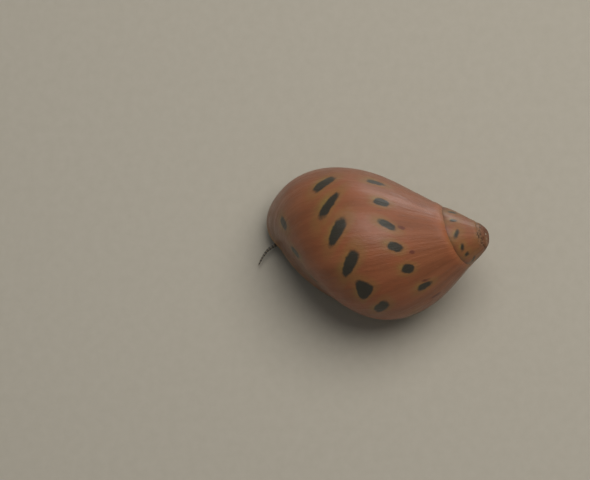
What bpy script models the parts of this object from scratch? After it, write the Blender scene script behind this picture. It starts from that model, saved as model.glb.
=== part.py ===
"""Nerite snail, life size, crawling on its flat sole.

The shell is one logarithmic spiral: an oval section that turns about the coil axis, grows by a
constant share each turn, and is cut flat along the rim. Lengths in this file are millimetres and
angles are degrees; mesh_object turns the lengths into metres. The head points along -Y, the coil's
tip along +Y, the outer lip lies on the animal's right, -X, and the sole rests at Z = 0.
"""

import math

import bmesh
import bpy
from mathutils import Vector

MM = 0.001
GAP = 0.3
SHARP_ANGLE = 40

# The coil: where its tip would be, and how its axis lies
TIP_X = 0.857
TIP_Y = 14.395
RIM_HEIGHT = 2.3
RIM_BELOW_TIP = 8.08
AXIS_RISE = 20.6
AXIS_TURN = 4.1

# The oval section of the whorl at the top of the shell, in radius from the axis and depth from the tip
WHORL_GROWTH = 2.335
OVAL_RADIUS = 2.84
OVAL_DEPTH = 13.05
OVAL_HALF_WIDTH = 5.70
OVAL_HALF_LENGTH = 9.79
OVAL_TILT = -21.1
SQUARENESS = -0.104
SKEW = 0.007
SHOULDER = 0.036
BASE_FULLNESS = 0.075

# How much of the spiral is built, in degrees of turn from the top of the last whorl
LIP_TURN = 180
FIRST_TURN = -720
TURN_STEP = 5
FINE_TURNS = (60, 110)
WHORL_ROWS = 16
SPIRE_ROWS = 6
SPIRE_SAMPLES = 80
EDGE_GAP = 0.36
SECTION_STEP = 0.02
SECTION_END = 1.9
FREE_SECTION = 0.35
SUTURE_BETWEEN = (-1.1, -0.6)
OUTER_SIDE = (-0.9, 0.9)
CORE_DEPTH = 6.0
SPIRE_CORE_DEPTH = 5.5

# Where the wall stops curling under and runs straight to the rim, leaning in on the left
WALL_LEAN = 20.0
LEAN_START = 30
LEAN_SPAN = 110
CURL_START = -40
CURL_SPAN = 100
CURL_SIDE = 0.36
CURL_BACK_START = -110
CURL_BACK_SPAN = 60
CURL_BACK = 0.40
FRONT_TURN = 50
FRONT_SPAN = 50

# The worn tip
WORN_DEPTH = 2.3
WORN_RADIUS = 1.24
WORN_HEIGHT = 0.5
WORN_RINGS = 5
WORN_SIDES = 24
WORN_THREES = 0.05
WORN_FIVES = 0.03
CAP_SHARE = 0.3

# The mouth of the shell: a shallow hollow inside the rim, parted by the edge of the deck. A stack's
# levels are (height, share of the outline's size), from below upwards
LIP_THICKNESS = 0.9
HOLLOW_DEPTH = 1.6
DECK_THICKNESS = 0.9
HOLLOW_LEVELS = (
    (RIM_HEIGHT - 1.0, 1.0),
    (RIM_HEIGHT + DECK_THICKNESS + GAP, 1.0),
    (RIM_HEIGHT + HOLLOW_DEPTH, 0.92),
)
DECK_LEVELS = ((RIM_HEIGHT, 0.97), (RIM_HEIGHT + 0.2, 1.0), (RIM_HEIGHT + DECK_THICKNESS, 1.0))
DECK_EDGE_X = 0.4
DECK_EDGE_Y = -14.4
DECK_EDGE_TURN = 17.0
DECK_CENTRE = (4.0, -13.2)
DECK_TEETH = 5
TOOTH_HEIGHT = 0.22
TOOTH_SPACING = 1.15
MOUTH_CENTRE = (-4.4, -17.2)
RIM_CENTRE = (-1.6, -16.0)
OUTLINE_POINTS = 96

# The foot: an egg in plan, ahead of and left of the coil's tip
HEADING = 10.0
FOOT_X = -2.6
FOOT_Y = -15.6
FOOT_HALF_LENGTH = 7.7
FOOT_HALF_WIDTH = 4.9
FOOT_FRONT_FULLNESS = 0.12
FOOT_THICKNESS = 1.05
FOOT_LEVELS = ((0.0, 0.94), (0.18, 1.0), (0.45, 0.98), (0.8, 0.86), (FOOT_THICKNESS, 0.74))
FOOT_POINTS = 56
TAIL_CUT = -3.6

# The stalk that joins the foot to what is inside the shell
STALK_INSET = 2.4
STALK_DECK_GAP = 0.65
STALK_BACK = -4.4
STALK_POINTS = 48
STALK_LEVELS = (
    (FOOT_THICKNESS + GAP, 0.86),
    (FOOT_THICKNESS + GAP + 0.5, 0.9),
    (RIM_HEIGHT, 0.98),
    (RIM_HEIGHT + 0.6, 1.0),
    (RIM_HEIGHT + HOLLOW_DEPTH - GAP, 0.8),
)

# The mantle's edge, a soft bar along the inside of the outer lip
MANTLE_WIDTH = 0.8
MANTLE_HEIGHT = 0.95
MANTLE_RAISE = 0.05
MANTLE_CORNER = 0.28
MANTLE_REACH = 7.0
MANTLE_STEPS = 12
MANTLE_SPANS = {"rear": (92, 150), "side": (150, 222), "front": (222, 296)}

# The head and snout, along the heading from the foot's centre
HEAD_BACK = 8.0
HEAD_FRONT = 10.5
HEAD_HALF_WIDTH = 1.75
NECK_HALF_WIDTH = 1.9
HEAD_BOTTOM = 0.15
HEAD_TOP = 1.95
HEAD_WIDENING = 1.6
WAIST_DEPTH = 0.10
WAIST_SHARE = 0.62
WAIST_SPREAD = 0.16
SNOUT_SHARE = 0.72
SNOUT_POWER = 2.4
SNOUT_BLUNTNESS = 0.25
BROW_SHARE = 0.45
BROW_DROP = 0.35
HEAD_SQUARENESS = 0.8
LOBE_DEPTH = 0.4
LOBE_SPREAD = 0.45
LOBE_SHARE = 0.6
HEAD_RINGS = 18
HEAD_SIDES = 36
RING_CROWDING = 1.35
MOUTH_WIDTH = 0.26
MOUTH_LENGTH = 0.85
MOUTH_DEPTH = 0.9
MOUTH_HEIGHT = 0.72
MOUTH_SIDES = 12
LIP_RIDGE = 0.12
LIP_OFFSET = 0.34
LIP_WIDTH = 0.16
LIP_HEIGHT = 0.42
LIP_SHARE = 0.85
LIP_FADE = 0.1

# Feelers, as stations ahead of the foot's centre, to the left and up, and eyes
FEELER_ROOT = 0.36
FEELER_MIDDLE = 0.27
FEELER_TIP = 0.12
FEELER_SIDES = 10
FEELER_RINGS = 9
LEFT_FEELER = (
    (9.25, 2.05, 1.20),
    (9.85, 2.55, 1.22),
    (10.42, 3.13, 1.12),
    (10.85, 4.05, 1.0),
    (11.15, 5.01, 0.85),
)
RIGHT_FEELER = (
    (9.25, -2.05, 1.20),
    (9.5, -2.9, 1.22),
    (9.15, -3.8, 1.12),
    (8.35, -4.45, 1.0),
    (7.35, -4.9, 0.88),
)
EYE_STALK_AHEAD = 8.45
EYE_STALK_OUT = 2.04
EYE_STALK_HEIGHT = 1.4
EYE_STALK_LENGTH = 0.5
EYE_STALK_LIFT = 0.25
EYE_STALK_RADIUS = 0.38
EYE_STALK_TAPER = (1.0, 0.98, 0.92, 0.8)
EYE_STALK_SIDES = 16
EYE_RADIUS = 0.29
EYE_FLATNESS = 0.8
EYE_RINGS = 7
EYE_SIDES = 14

# The lid on the back of the foot
LID_BACK = -8.0
LID_FRONT = -4.9
LID_HALF_WIDTH = 3.1
LID_BOTTOM = 1.2
LID_THICKNESS = 0.5
LID_LEVELS = (
    (LID_BOTTOM, 0.95),
    (LID_BOTTOM + 0.15, 1.0),
    (LID_BOTTOM + 0.32, 0.97),
    (LID_BOTTOM + LID_THICKNESS, 0.7),
)
LID_STRAIGHTNESS = 0.9
LID_SQUARENESS = 0.8
LID_POINTS = 40

SHELL_ORANGE = (0.30, 0.105, 0.035, 1.0)
SPIRE_ORANGE = (0.26, 0.085, 0.03, 1.0)
WORN_CREAM = (0.62, 0.54, 0.42, 1.0)
DECK_CREAM = (0.66, 0.60, 0.46, 1.0)
FLESH_GREY = (0.12, 0.115, 0.095, 1.0)
SOLE_GREY = (0.30, 0.28, 0.23, 1.0)
MANTLE_DARK = (0.07, 0.065, 0.05, 1.0)
EYE_BLACK = (0.006, 0.006, 0.007, 1.0)
LID_SLATE = (0.16, 0.12, 0.11, 1.0)


def clear_scene():
    for old in list(bpy.data.objects):
        bpy.data.objects.remove(old, do_unlink=True)


def material(name, colour, roughness):
    made = bpy.data.materials.new(name)
    made.use_nodes = True
    shader = made.node_tree.nodes["Principled BSDF"]
    shader.inputs["Base Color"].default_value = colour
    shader.inputs["Roughness"].default_value = roughness
    shader.inputs["Metallic"].default_value = 0.0
    return made


def mesh_object(name, points, faces, finish):
    """One object from points in millimetres, with doubled points joined and its faces turned out."""
    body = bmesh.new()
    corners = [body.verts.new(Vector(point) * MM) for point in points]
    for face in faces:
        if len(set(face)) > 2:
            body.faces.new([corners[index] for index in face])
    bmesh.ops.remove_doubles(body, verts=body.verts, dist=0.001 * MM)
    bmesh.ops.dissolve_degenerate(body, edges=body.edges, dist=0.0005 * MM)
    bmesh.ops.recalc_face_normals(body, faces=body.faces)
    if body.calc_volume(signed=True) < 0:
        bmesh.ops.reverse_faces(body, faces=body.faces)
    mesh = bpy.data.meshes.new(name)
    body.to_mesh(mesh)
    body.free()
    made = bpy.data.objects.new(name, mesh)
    bpy.context.scene.collection.objects.link(made)
    made.data.materials.append(finish)
    mesh.shade_smooth()
    mesh.set_sharp_from_angle(angle=math.radians(SHARP_ANGLE))
    return made


def keep_side(thing, point, normal):
    """Cuts an object flat at a plane and keeps the side that the normal points to."""
    body = bmesh.new()
    body.from_mesh(thing.data)
    shape = body.verts[:] + body.edges[:] + body.faces[:]
    cut = bmesh.ops.bisect_plane(
        body, geom=shape, plane_co=Vector(point) * MM, plane_no=Vector(normal), clear_inner=True
    )
    rim = [item for item in cut["geom_cut"] if isinstance(item, bmesh.types.BMEdge)]
    bmesh.ops.holes_fill(body, edges=rim)
    bmesh.ops.triangulate(body, faces=[face for face in body.faces if len(face.verts) > 4])
    bmesh.ops.recalc_face_normals(body, faces=body.faces)
    body.to_mesh(thing.data)
    body.free()


def cut_away(thing, cutter):
    """Takes the cutter's shape out of an object and removes the cutter."""
    cutter.hide_render = True
    cutter.display_type = "WIRE"
    change = thing.modifiers.new("cut", "BOOLEAN")
    change.operation = "DIFFERENCE"
    change.solver = "EXACT"
    change.object = cutter
    view = bpy.context.evaluated_depsgraph_get()
    mesh = bpy.data.meshes.new_from_object(thing.evaluated_get(view))
    thing.modifiers.remove(change)
    thing.data = mesh
    bpy.data.objects.remove(cutter, do_unlink=True)


def smooth_step(value):
    value = min(max(value, 0.0), 1.0)
    return value * value * (3 - 2 * value)


# The coil's own directions
rise = math.radians(AXIS_RISE)
turn_right = math.radians(AXIS_TURN)
TIP = Vector((TIP_X, TIP_Y, RIM_HEIGHT + RIM_BELOW_TIP))
AXIS = Vector((-math.sin(turn_right) * math.cos(rise), math.cos(turn_right) * math.cos(rise), math.sin(rise)))
UPWARD = (Vector((0, 0, 1)) - AXIS.z * AXIS).normalized()
RIGHTWARD = UPWARD.cross(AXIS)


def section(angle):
    """Radius from the axis and depth from the tip, at one angle round the oval section."""
    shape = (
        1
        + SQUARENESS * math.cos(2 * angle)
        + SKEW * math.sin(2 * angle)
        + SHOULDER * math.cos(3 * angle)
        + BASE_FULLNESS * math.sin(3 * angle)
    )
    across = OVAL_HALF_WIDTH * math.cos(angle) * shape
    along = OVAL_HALF_LENGTH * math.sin(angle) * shape
    tilt = math.radians(OVAL_TILT)
    radius = OVAL_RADIUS + across * math.cos(tilt) - along * math.sin(tilt)
    depth = OVAL_DEPTH + across * math.sin(tilt) + along * math.cos(tilt)
    return radius, depth


def bisect(function, low, high):
    """Where a function that changes sign once between low and high is zero."""
    low_sign = function(low) > 0
    for _ in range(60):
        middle = (low + high) / 2
        if (function(middle) > 0) == low_sign:
            low = middle
        else:
            high = middle
    return (low + high) / 2


def covered_angle(depth):
    """The angle on the outer side of the section at this depth."""
    return bisect(lambda angle: section(angle)[1] - depth, *OUTER_SIDE)


def suture_miss(angle):
    """How far the next whorl's edge stands off this whorl's surface."""
    radius, depth = section(angle)
    return section(covered_angle(depth * WHORL_GROWTH))[0] - radius * WHORL_GROWTH


SUTURE = bisect(suture_miss, *SUTURE_BETWEEN)
COVERED = covered_angle(section(SUTURE)[1] * WHORL_GROWTH)


def shell_point(turn, angle):
    """A point of the spiral surface."""
    size = WHORL_GROWTH ** (turn / 360)
    radius, depth = section(angle)
    around = math.radians(turn)
    outward = math.cos(around) * UPWARD + math.sin(around) * RIGHTWARD
    return TIP + size * radius * outward - size * depth * AXIS


def shell_normal(turn, angle):
    """The outward direction of the spiral surface."""
    along = shell_point(turn, angle + 0.001) - shell_point(turn, angle - 0.001)
    around = shell_point(turn + 0.05, angle) - shell_point(turn - 0.05, angle)
    return around.cross(along).normalized()


def curl_limit(turn):
    """How far under the wall curls at this turn before it runs straight to the rim."""
    side = CURL_SIDE * smooth_step((CURL_START - turn) / CURL_SPAN)
    back = CURL_BACK * smooth_step((CURL_BACK_START - turn) / CURL_BACK_SPAN)
    return side + back + smooth_step((turn - FRONT_TURN) / FRONT_SPAN)


def wall_down(turn):
    """The direction in which the straight part of the wall runs down."""
    lean = math.radians(WALL_LEAN * smooth_step((LEAN_START - turn) / LEAN_SPAN))
    return Vector((-math.sin(lean), 0, -math.cos(lean)))


def past_wall(turn, angle):
    """Positive where the section is below the rim or has curled under far enough."""
    below = RIM_HEIGHT - shell_point(turn, angle).z
    if angle < SUTURE + FREE_SECTION:
        return below
    return max(below, shell_normal(turn, angle).dot(wall_down(turn)) - curl_limit(turn))


def wall_path(turn):
    """The wall's line at one turn, from the suture down to the rim plane."""
    path = []
    angle = SUTURE
    while angle < SECTION_END and past_wall(turn, angle) <= 0:
        path.append(shell_point(turn, angle))
        angle += SECTION_STEP
    stop = bisect(lambda tried: past_wall(turn, tried), angle - SECTION_STEP, angle)
    path.append(shell_point(turn, stop))
    facing = shell_normal(turn, stop)
    down = wall_down(turn)
    down = (down - down.dot(facing) * facing).normalized()
    path.append(path[-1] + down * ((path[-1].z - RIM_HEIGHT) / -down.z))
    return path


def evenly(path, count):
    """The same line as count + 1 points at even distances."""
    lengths = [0.0]
    for before, after in zip(path, path[1:]):
        lengths.append(lengths[-1] + (after - before).length)
    points = []
    index = 0
    for step in range(count + 1):
        wanted = lengths[-1] * step / count
        while index < len(path) - 2 and lengths[index + 1] < wanted:
            index += 1
        span = max(lengths[index + 1] - lengths[index], 1e-9)
        points.append(path[index].lerp(path[index + 1], min((wanted - lengths[index]) / span, 1.0)))
    return points


def shortened(path, length):
    """The same line with this length taken off its end."""
    kept = list(path)
    while (kept[-1] - kept[-2]).length < length:
        length -= (kept[-1] - kept[-2]).length
        kept.pop()
    kept[-1] = kept[-1] + (kept[-2] - kept[-1]).normalized() * length
    return kept


def grid_faces(columns, rows, first=0):
    """Quads between neighbouring columns of rows + 1 points each."""
    faces = []
    for column in range(columns - 1):
        for row in range(rows):
            corner = first + column * (rows + 1) + row
            faces.append((corner, corner + 1, corner + rows + 2, corner + rows + 1))
    return faces


def last_whorl_columns():
    turns = [LIP_TURN - 360]
    while turns[-1] < LIP_TURN - TURN_STEP:
        fine = FINE_TURNS[0] <= turns[-1] < FINE_TURNS[1]
        turns.append(turns[-1] + TURN_STEP / (2 if fine else 1))
    columns = [evenly(wall_path(turn), WHORL_ROWS) for turn in turns]
    corner = shell_point(LIP_TURN, SUTURE)
    corner.z = RIM_HEIGHT
    columns[0][-1] = corner.copy()
    columns.append([corner.copy() for _ in range(WHORL_ROWS + 1)])
    return columns


def body_whorl(columns, finish):
    """The last whorl: its wall, a cone in against the spire, and the flat of the rim."""
    points = [point for column in columns for point in column]
    faces = grid_faces(len(columns), WHORL_ROWS)
    stride = WHORL_ROWS + 1
    core = len(points)
    points.append(TIP - CORE_DEPTH * AXIS)
    edge = [column * stride for column in range(len(columns))] + list(range(WHORL_ROWS, -1, -1))
    for before, after in zip(edge, edge[1:]):
        faces.append((before, after, core))
    rim = [column * stride + WHORL_ROWS for column in range(len(columns) - 1)]
    middle = len(points)
    points.append(Vector((rim_centre().x, rim_centre().y, RIM_HEIGHT)))
    for before, after in zip(rim, rim[1:] + rim[:1]):
        faces.append((before, after, middle))
    return mesh_object("shell_body_whorl", points, faces, finish)


def spire(finish):
    """The older whorls, each from its own suture to the next one, parted from the last whorl."""
    last = LIP_TURN - 360 - TURN_STEP
    free_edge = last - 360 + TURN_STEP
    points = []
    turns = list(range(FIRST_TURN, last + 1, TURN_STEP))
    for turn in turns:
        shares = [row / SPIRE_SAMPLES for row in range(SPIRE_SAMPLES + 1)]
        path = [shell_point(turn, SUTURE + (COVERED - SUTURE) * share) for share in shares]
        if turn >= free_edge:
            path = shortened(path, EDGE_GAP)
        points += evenly(path, SPIRE_ROWS)
    faces = grid_faces(len(turns), SPIRE_ROWS)
    stride = SPIRE_ROWS + 1
    turn_columns = 360 // TURN_STEP
    top = [column * stride for column in range(turn_columns + 1)]
    top += [row for row in range(SPIRE_ROWS, 0, -1)]
    cap = len(points)
    points.append(shell_point(FIRST_TURN, SUTURE).lerp(shell_point(FIRST_TURN + 180, SUTURE), CAP_SHARE))
    for before, after in zip(top, top[1:] + top[:1]):
        faces.append((before, after, cap))
    end = (len(turns) - 1) * stride
    bottom = [column * stride + SPIRE_ROWS for column in range(len(turns) - turn_columns, len(turns))]
    bottom += [end + row for row in range(SPIRE_ROWS - 1, -1, -1)]
    core = len(points)
    points.append(TIP - SPIRE_CORE_DEPTH * AXIS)
    for before, after in zip(bottom, bottom[1:] + bottom[:1]):
        faces.append((before, after, core))
    made = mesh_object("shell_spire", points, faces, finish)
    keep_side(made, TIP - WORN_DEPTH * AXIS, -AXIS)
    return made


def worn_tip(finish):
    """A low, uneven dome where the oldest whorls are worn away."""
    base = TIP - (WORN_DEPTH - GAP) * AXIS
    points = [base]
    for ring in range(WORN_RINGS):
        slope = math.pi / 2 * ring / WORN_RINGS
        for side in range(WORN_SIDES):
            around = math.tau * side / WORN_SIDES
            uneven = 1 + WORN_THREES * math.sin(3 * around) + WORN_FIVES * math.cos(5 * around + 1)
            outward = math.cos(around) * UPWARD + math.sin(around) * RIGHTWARD
            height = WORN_HEIGHT * math.sin(slope) * AXIS
            points.append(base + WORN_RADIUS * uneven * math.cos(slope) * outward + height)
    points.append(base + WORN_HEIGHT * AXIS)
    return mesh_object("shell_apex", points, dome_faces(WORN_RINGS, WORN_SIDES), finish)


def dome_faces(rings, sides):
    """Faces of a base point, rings of points above it and a last point on top."""
    faces = []
    last = 1 + rings * sides
    for side in range(sides):
        after = (side + 1) % sides
        faces.append((0, 1 + after, 1 + side))
        for ring in range(rings - 1):
            low = 1 + ring * sides
            faces.append((low + side, low + after, low + sides + after, low + sides + side))
        top = 1 + (rings - 1) * sides
        faces.append((top + side, top + after, last))
    return faces


def rim_centre():
    return Vector((*from_tip(RIM_CENTRE), 0))


def inset_loop(loop, inset):
    """The rim's outline in plan, moved inwards by the inset."""
    moved = []
    count = len(loop)
    for index, place in enumerate(loop):
        along = loop[(index + 1) % count] - loop[index - 1]
        inward = Vector((-along.y, along.x, 0)).normalized()
        if inward.dot(rim_centre() - place) < 0:
            inward = -inward
        moved.append(place + inward * inset)
    return moved


def loop_distance(loop, centre, angle):
    """How far an outline lies from a point inside it, along one direction in plan."""
    direction = Vector((math.cos(angle), math.sin(angle)))
    best = 0.0
    for before, after in zip(loop, loop[1:] + loop[:1]):
        side = Vector((after.x - before.x, after.y - before.y))
        start = Vector((before.x - centre[0], before.y - centre[1]))
        cross = direction.x * side.y - direction.y * side.x
        if abs(cross) < 1e-9:
            continue
        reach = (start.x * side.y - start.y * side.x) / cross
        share = (start.x * direction.y - start.y * direction.x) / cross
        if reach > 0 and -1e-6 <= share <= 1 + 1e-6:
            best = max(best, reach)
    return best


def deck_edge_distance(centre, angle, shift):
    """How far the deck's straight edge lies along one direction, moved towards the mouth by shift."""
    turned = math.radians(DECK_EDGE_TURN)
    across = Vector((-math.cos(turned), -math.sin(turned)))
    edge = Vector((TIP_X + DECK_EDGE_X, TIP_Y + DECK_EDGE_Y)) + across * shift
    direction = Vector((math.cos(angle), math.sin(angle)))
    towards = direction.dot(across)
    reach = (edge - Vector(centre)).dot(across)
    if abs(towards) < 1e-6 or reach / towards <= 0:
        return math.inf
    return reach / towards


def from_tip(place):
    return (TIP_X + place[0], TIP_Y + place[1])


def inner_outline(loop, centre, inset, edge_shift, count=OUTLINE_POINTS):
    """Plan points inside the rim by inset, stopped at the deck's edge."""
    inner = inset_loop(loop, inset)
    outline = []
    for index in range(count):
        angle = math.tau * index / count
        reach = loop_distance(inner, centre, angle)
        if edge_shift is not None:
            reach = min(reach, deck_edge_distance(centre, angle, edge_shift))
        outline.append(Vector((centre[0] + reach * math.cos(angle), centre[1] + reach * math.sin(angle), 0)))
    return outline


def slab(name, outline, levels, centre, finish):
    """A stack of copies of a plan outline; each level is (height, share of the outline's size)."""
    count = len(outline)
    middle = Vector((centre[0], centre[1], 0))
    points = []
    for height, share in levels:
        for place in outline:
            inner = middle + (place - middle) * share
            points.append(Vector((inner.x, inner.y, height)))
    faces = []
    for level in range(len(levels) - 1):
        for index in range(count):
            after = (index + 1) % count
            low = level * count
            faces.append((low + index, low + after, low + count + after, low + count + index))
    bottom = len(points)
    points.append(Vector((middle.x, middle.y, levels[0][0])))
    points.append(Vector((middle.x, middle.y, levels[-1][0])))
    top = (len(levels) - 1) * count
    for index in range(count):
        after = (index + 1) % count
        faces.append((after, index, bottom))
        faces.append((top + index, top + after, bottom + 1))
    return mesh_object(name, points, faces, finish)


def hollow_out(whorl, loop, finish):
    """The shallow hollow inside the rim, for the deck and the soft body."""
    centre = (rim_centre().x, rim_centre().y)
    outline = inner_outline(loop, centre, LIP_THICKNESS, None)
    cut_away(whorl, slab("hollow", outline, HOLLOW_LEVELS, centre, finish))


def deck(loop, finish):
    """The flat shelf across the left of the mouth, with small teeth along its straight edge."""
    centre = from_tip(DECK_CENTRE)
    outline = inner_outline(loop, centre, LIP_THICKNESS + GAP, 0.0)
    turned = math.radians(DECK_EDGE_TURN)
    across = Vector((-math.cos(turned), -math.sin(turned), 0))
    along = Vector((math.sin(turned), -math.cos(turned), 0))
    edge = Vector((TIP_X + DECK_EDGE_X, TIP_Y + DECK_EDGE_Y, 0))
    toothed = []
    for place in outline:
        off_edge = abs((place - edge).dot(across))
        position = (place - edge).dot(along) / TOOTH_SPACING
        in_row = abs(position) < DECK_TEETH / 2
        if off_edge < 0.01 and in_row:
            place = place + across * TOOTH_HEIGHT * math.cos(math.pi * position) ** 2
        toothed.append(place)
    return slab("shell_deck", toothed, DECK_LEVELS, centre, finish)


def stalk(loop, finish):
    """The body between the foot and the inside of the shell."""
    centre = from_tip(MOUTH_CENTRE)
    outline = inner_outline(loop, centre, STALK_INSET, STALK_DECK_GAP, STALK_POINTS)
    ahead = heading_vector()
    trimmed = []
    for place in outline:
        along = (place - foot_centre()).dot(ahead)
        kept = min(max(along, STALK_BACK), HEAD_BACK - GAP)
        trimmed.append(place + ahead * (kept - along))
    return slab("body_stalk", trimmed, STALK_LEVELS, centre, finish)


def mantle_length(name, loop, span, finish):
    """One length of the mantle's edge, a rounded bar bent along the outer lip."""
    centre = from_tip(MOUTH_CENTRE)
    corner = MANTLE_CORNER
    middle_height = RIM_HEIGHT + MANTLE_RAISE + MANTLE_HEIGHT / 2
    gap_angle = math.degrees(GAP / 2 / MANTLE_REACH)
    first = span[0] + gap_angle
    last = span[1] - gap_angle
    profile = []
    for side, up in ((-1, -1), (1, -1), (1, 1), (-1, 1)):
        profile.append((side * (MANTLE_WIDTH / 2 - corner * (side == up)), up * MANTLE_HEIGHT / 2))
        profile.append((side * MANTLE_WIDTH / 2, up * (MANTLE_HEIGHT / 2 - corner)))
    profile.sort(key=lambda spot: math.atan2(spot[1], spot[0]))
    line_of_middle = inset_loop(loop, LIP_THICKNESS + GAP + MANTLE_WIDTH / 2)
    points = []
    for step in range(MANTLE_STEPS + 1):
        angle = math.radians(first + (last - first) * step / MANTLE_STEPS)
        reach = loop_distance(line_of_middle, centre, angle)
        for across, up in profile:
            place = Vector((math.cos(angle), math.sin(angle), 0)) * (reach + across)
            points.append(Vector((centre[0] + place.x, centre[1] + place.y, middle_height + up)))
    return mesh_object(name, points, tube_faces(MANTLE_STEPS + 1, len(profile)), finish)


def tube_faces(rings, sides):
    """Faces of a closed tube made of rings of points, with flat ends."""
    faces = []
    for ring in range(rings - 1):
        for side in range(sides):
            after = (side + 1) % sides
            low = ring * sides
            faces.append((low + side, low + after, low + sides + after, low + sides + side))
    faces.append(tuple(range(sides)))
    faces.append(tuple((rings - 1) * sides + side for side in range(sides - 1, -1, -1)))
    return faces


def heading_vector():
    heading = math.radians(HEADING)
    return Vector((-math.sin(heading), -math.cos(heading), 0))


def left_vector():
    heading = math.radians(HEADING)
    return Vector((math.cos(heading), -math.sin(heading), 0))


def foot_centre():
    return Vector((TIP_X + FOOT_X, TIP_Y + FOOT_Y, 0))


def body_place(ahead, left, height):
    """A point given along the heading, to the animal's left, and up, from the foot's centre."""
    place = foot_centre() + heading_vector() * ahead + left_vector() * left
    return Vector((place.x, place.y, height))


def foot_and_tail(foot_finish, tail_finish):
    """The sole, in two lengths."""
    outline = []
    for index in range(FOOT_POINTS):
        angle = math.tau * index / FOOT_POINTS
        ahead = FOOT_HALF_LENGTH * math.cos(angle)
        left = FOOT_HALF_WIDTH * math.sin(angle) * (1 + FOOT_FRONT_FULLNESS * math.cos(angle))
        place = body_place(ahead, left, 0)
        outline.append(Vector((place.x, place.y, 0)))
    centre = foot_centre()
    foot = slab("foot", outline, FOOT_LEVELS, (centre.x, centre.y), foot_finish)
    tail = slab("tail", outline, FOOT_LEVELS, (centre.x, centre.y), tail_finish)
    ahead = heading_vector()
    keep_side(foot, centre + ahead * (TAIL_CUT + GAP / 2), ahead)
    keep_side(tail, centre + ahead * (TAIL_CUT - GAP / 2), -ahead)
    return foot, tail


def head_width(share):
    """Half width of the head, from the neck at 0 to the front of the snout at 1."""
    waist = 1 - WAIST_DEPTH * math.exp(-(((share - WAIST_SHARE) / WAIST_SPREAD) ** 2))
    width = NECK_HALF_WIDTH + (HEAD_HALF_WIDTH - NECK_HALF_WIDTH) * smooth_step(share * HEAD_WIDENING)
    return width * waist


def head_shape(share, around):
    """A point of the head: a rounded block whose front is parted into two lobes."""
    past_snout = max(0.0, (share - SNOUT_SHARE) / (1 - SNOUT_SHARE))
    closing = math.sqrt(max(0.0, 1 - past_snout**SNOUT_POWER))
    size = SNOUT_BLUNTNESS + (1 - SNOUT_BLUNTNESS) * closing
    half_width = head_width(share) * size
    top = HEAD_TOP - BROW_DROP * smooth_step((share - BROW_SHARE) / (1 - BROW_SHARE))
    middle = (HEAD_BOTTOM + top) / 2
    half_height = (top - HEAD_BOTTOM) / 2 * size
    across = half_width * math.copysign(abs(math.cos(around)) ** HEAD_SQUARENESS, math.cos(around))
    up = half_height * math.copysign(abs(math.sin(around)) ** HEAD_SQUARENESS, math.sin(around))
    parting = smooth_step((share - LOBE_SHARE) / (1 - LOBE_SHARE))
    notch = LOBE_DEPTH * math.exp(-((across / LOBE_SPREAD) ** 2)) * parting
    ahead = HEAD_BACK + (HEAD_FRONT - HEAD_BACK) * share - notch
    off_lip = (abs(across) - LIP_OFFSET) / LIP_WIDTH
    off_mouth = (middle + up - MOUTH_HEIGHT) / LIP_HEIGHT
    ridge = math.exp(-(off_lip**2) - off_mouth**2)
    ahead += LIP_RIDGE * ridge * smooth_step((share - LIP_SHARE) / LIP_FADE)
    return body_place(ahead, across, middle + up)


def head(finish):
    """The head with its two-lobed snout, lips and the slit of the mouth."""
    points = []
    for ring in range(HEAD_RINGS + 1):
        share = 1 - (1 - ring / HEAD_RINGS) ** RING_CROWDING
        for side in range(HEAD_SIDES):
            points.append(head_shape(share, math.tau * side / HEAD_SIDES))
    faces = tube_faces(HEAD_RINGS + 1, HEAD_SIDES)[:-2]
    start = len(points)
    points.append(body_place(HEAD_BACK, 0, (HEAD_BOTTOM + HEAD_TOP) / 2))
    front_middle = (points[HEAD_RINGS * HEAD_SIDES] + points[HEAD_RINGS * HEAD_SIDES + HEAD_SIDES // 2]) / 2
    points.append(front_middle)
    last = HEAD_RINGS * HEAD_SIDES
    for side in range(HEAD_SIDES):
        after = (side + 1) % HEAD_SIDES
        faces.append((after, side, start))
        faces.append((last + side, last + after, start + 1))
    made = mesh_object("head", points, faces, finish)
    cut_away(made, mouth_slit(finish))
    return made


def mouth_slit(finish):
    """A thin upright lens that opens the mouth in the front of the snout."""
    points = []
    for ahead in (HEAD_FRONT - LOBE_DEPTH - MOUTH_DEPTH / 2, HEAD_FRONT + MOUTH_DEPTH / 2):
        for side in range(MOUTH_SIDES):
            around = math.tau * side / MOUTH_SIDES
            across = MOUTH_WIDTH / 2 * math.cos(around)
            up = MOUTH_LENGTH / 2 * math.sin(around)
            points.append(body_place(ahead, across, MOUTH_HEIGHT + up))
    return mesh_object("mouth_slit", points, tube_faces(2, MOUTH_SIDES), finish)


def smooth_line(stations, count):
    """Points along a smooth curve through the stations."""
    line = []
    ends = [2 * stations[0] - stations[1]] + stations + [2 * stations[-1] - stations[-2]]
    for index in range(count + 1):
        place = index / count * (len(stations) - 1)
        part = min(int(place), len(stations) - 2)
        share = place - part
        p0, p1, p2, p3 = ends[part : part + 4]
        line.append(
            0.5
            * (
                2 * p1
                + (p2 - p0) * share
                + (2 * p0 - 5 * p1 + 4 * p2 - p3) * share**2
                + (3 * p1 - 3 * p2 + p3 - p0) * share**3
            )
        )
    return line


def tapered_tube(name, line, radii, sides, finish):
    """A round tube along a line, with one radius for each of its points."""
    points = []
    for index, place in enumerate(line):
        before = line[max(index - 1, 0)]
        after = line[min(index + 1, len(line) - 1)]
        forward = (after - before).normalized()
        side_way = forward.cross(Vector((0, 0, 1))).normalized()
        up_way = side_way.cross(forward)
        for side in range(sides):
            around = math.tau * side / sides
            points.append(place + radii[index] * (math.cos(around) * side_way + math.sin(around) * up_way))
    return mesh_object(name, points, tube_faces(len(line), sides), finish)


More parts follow.
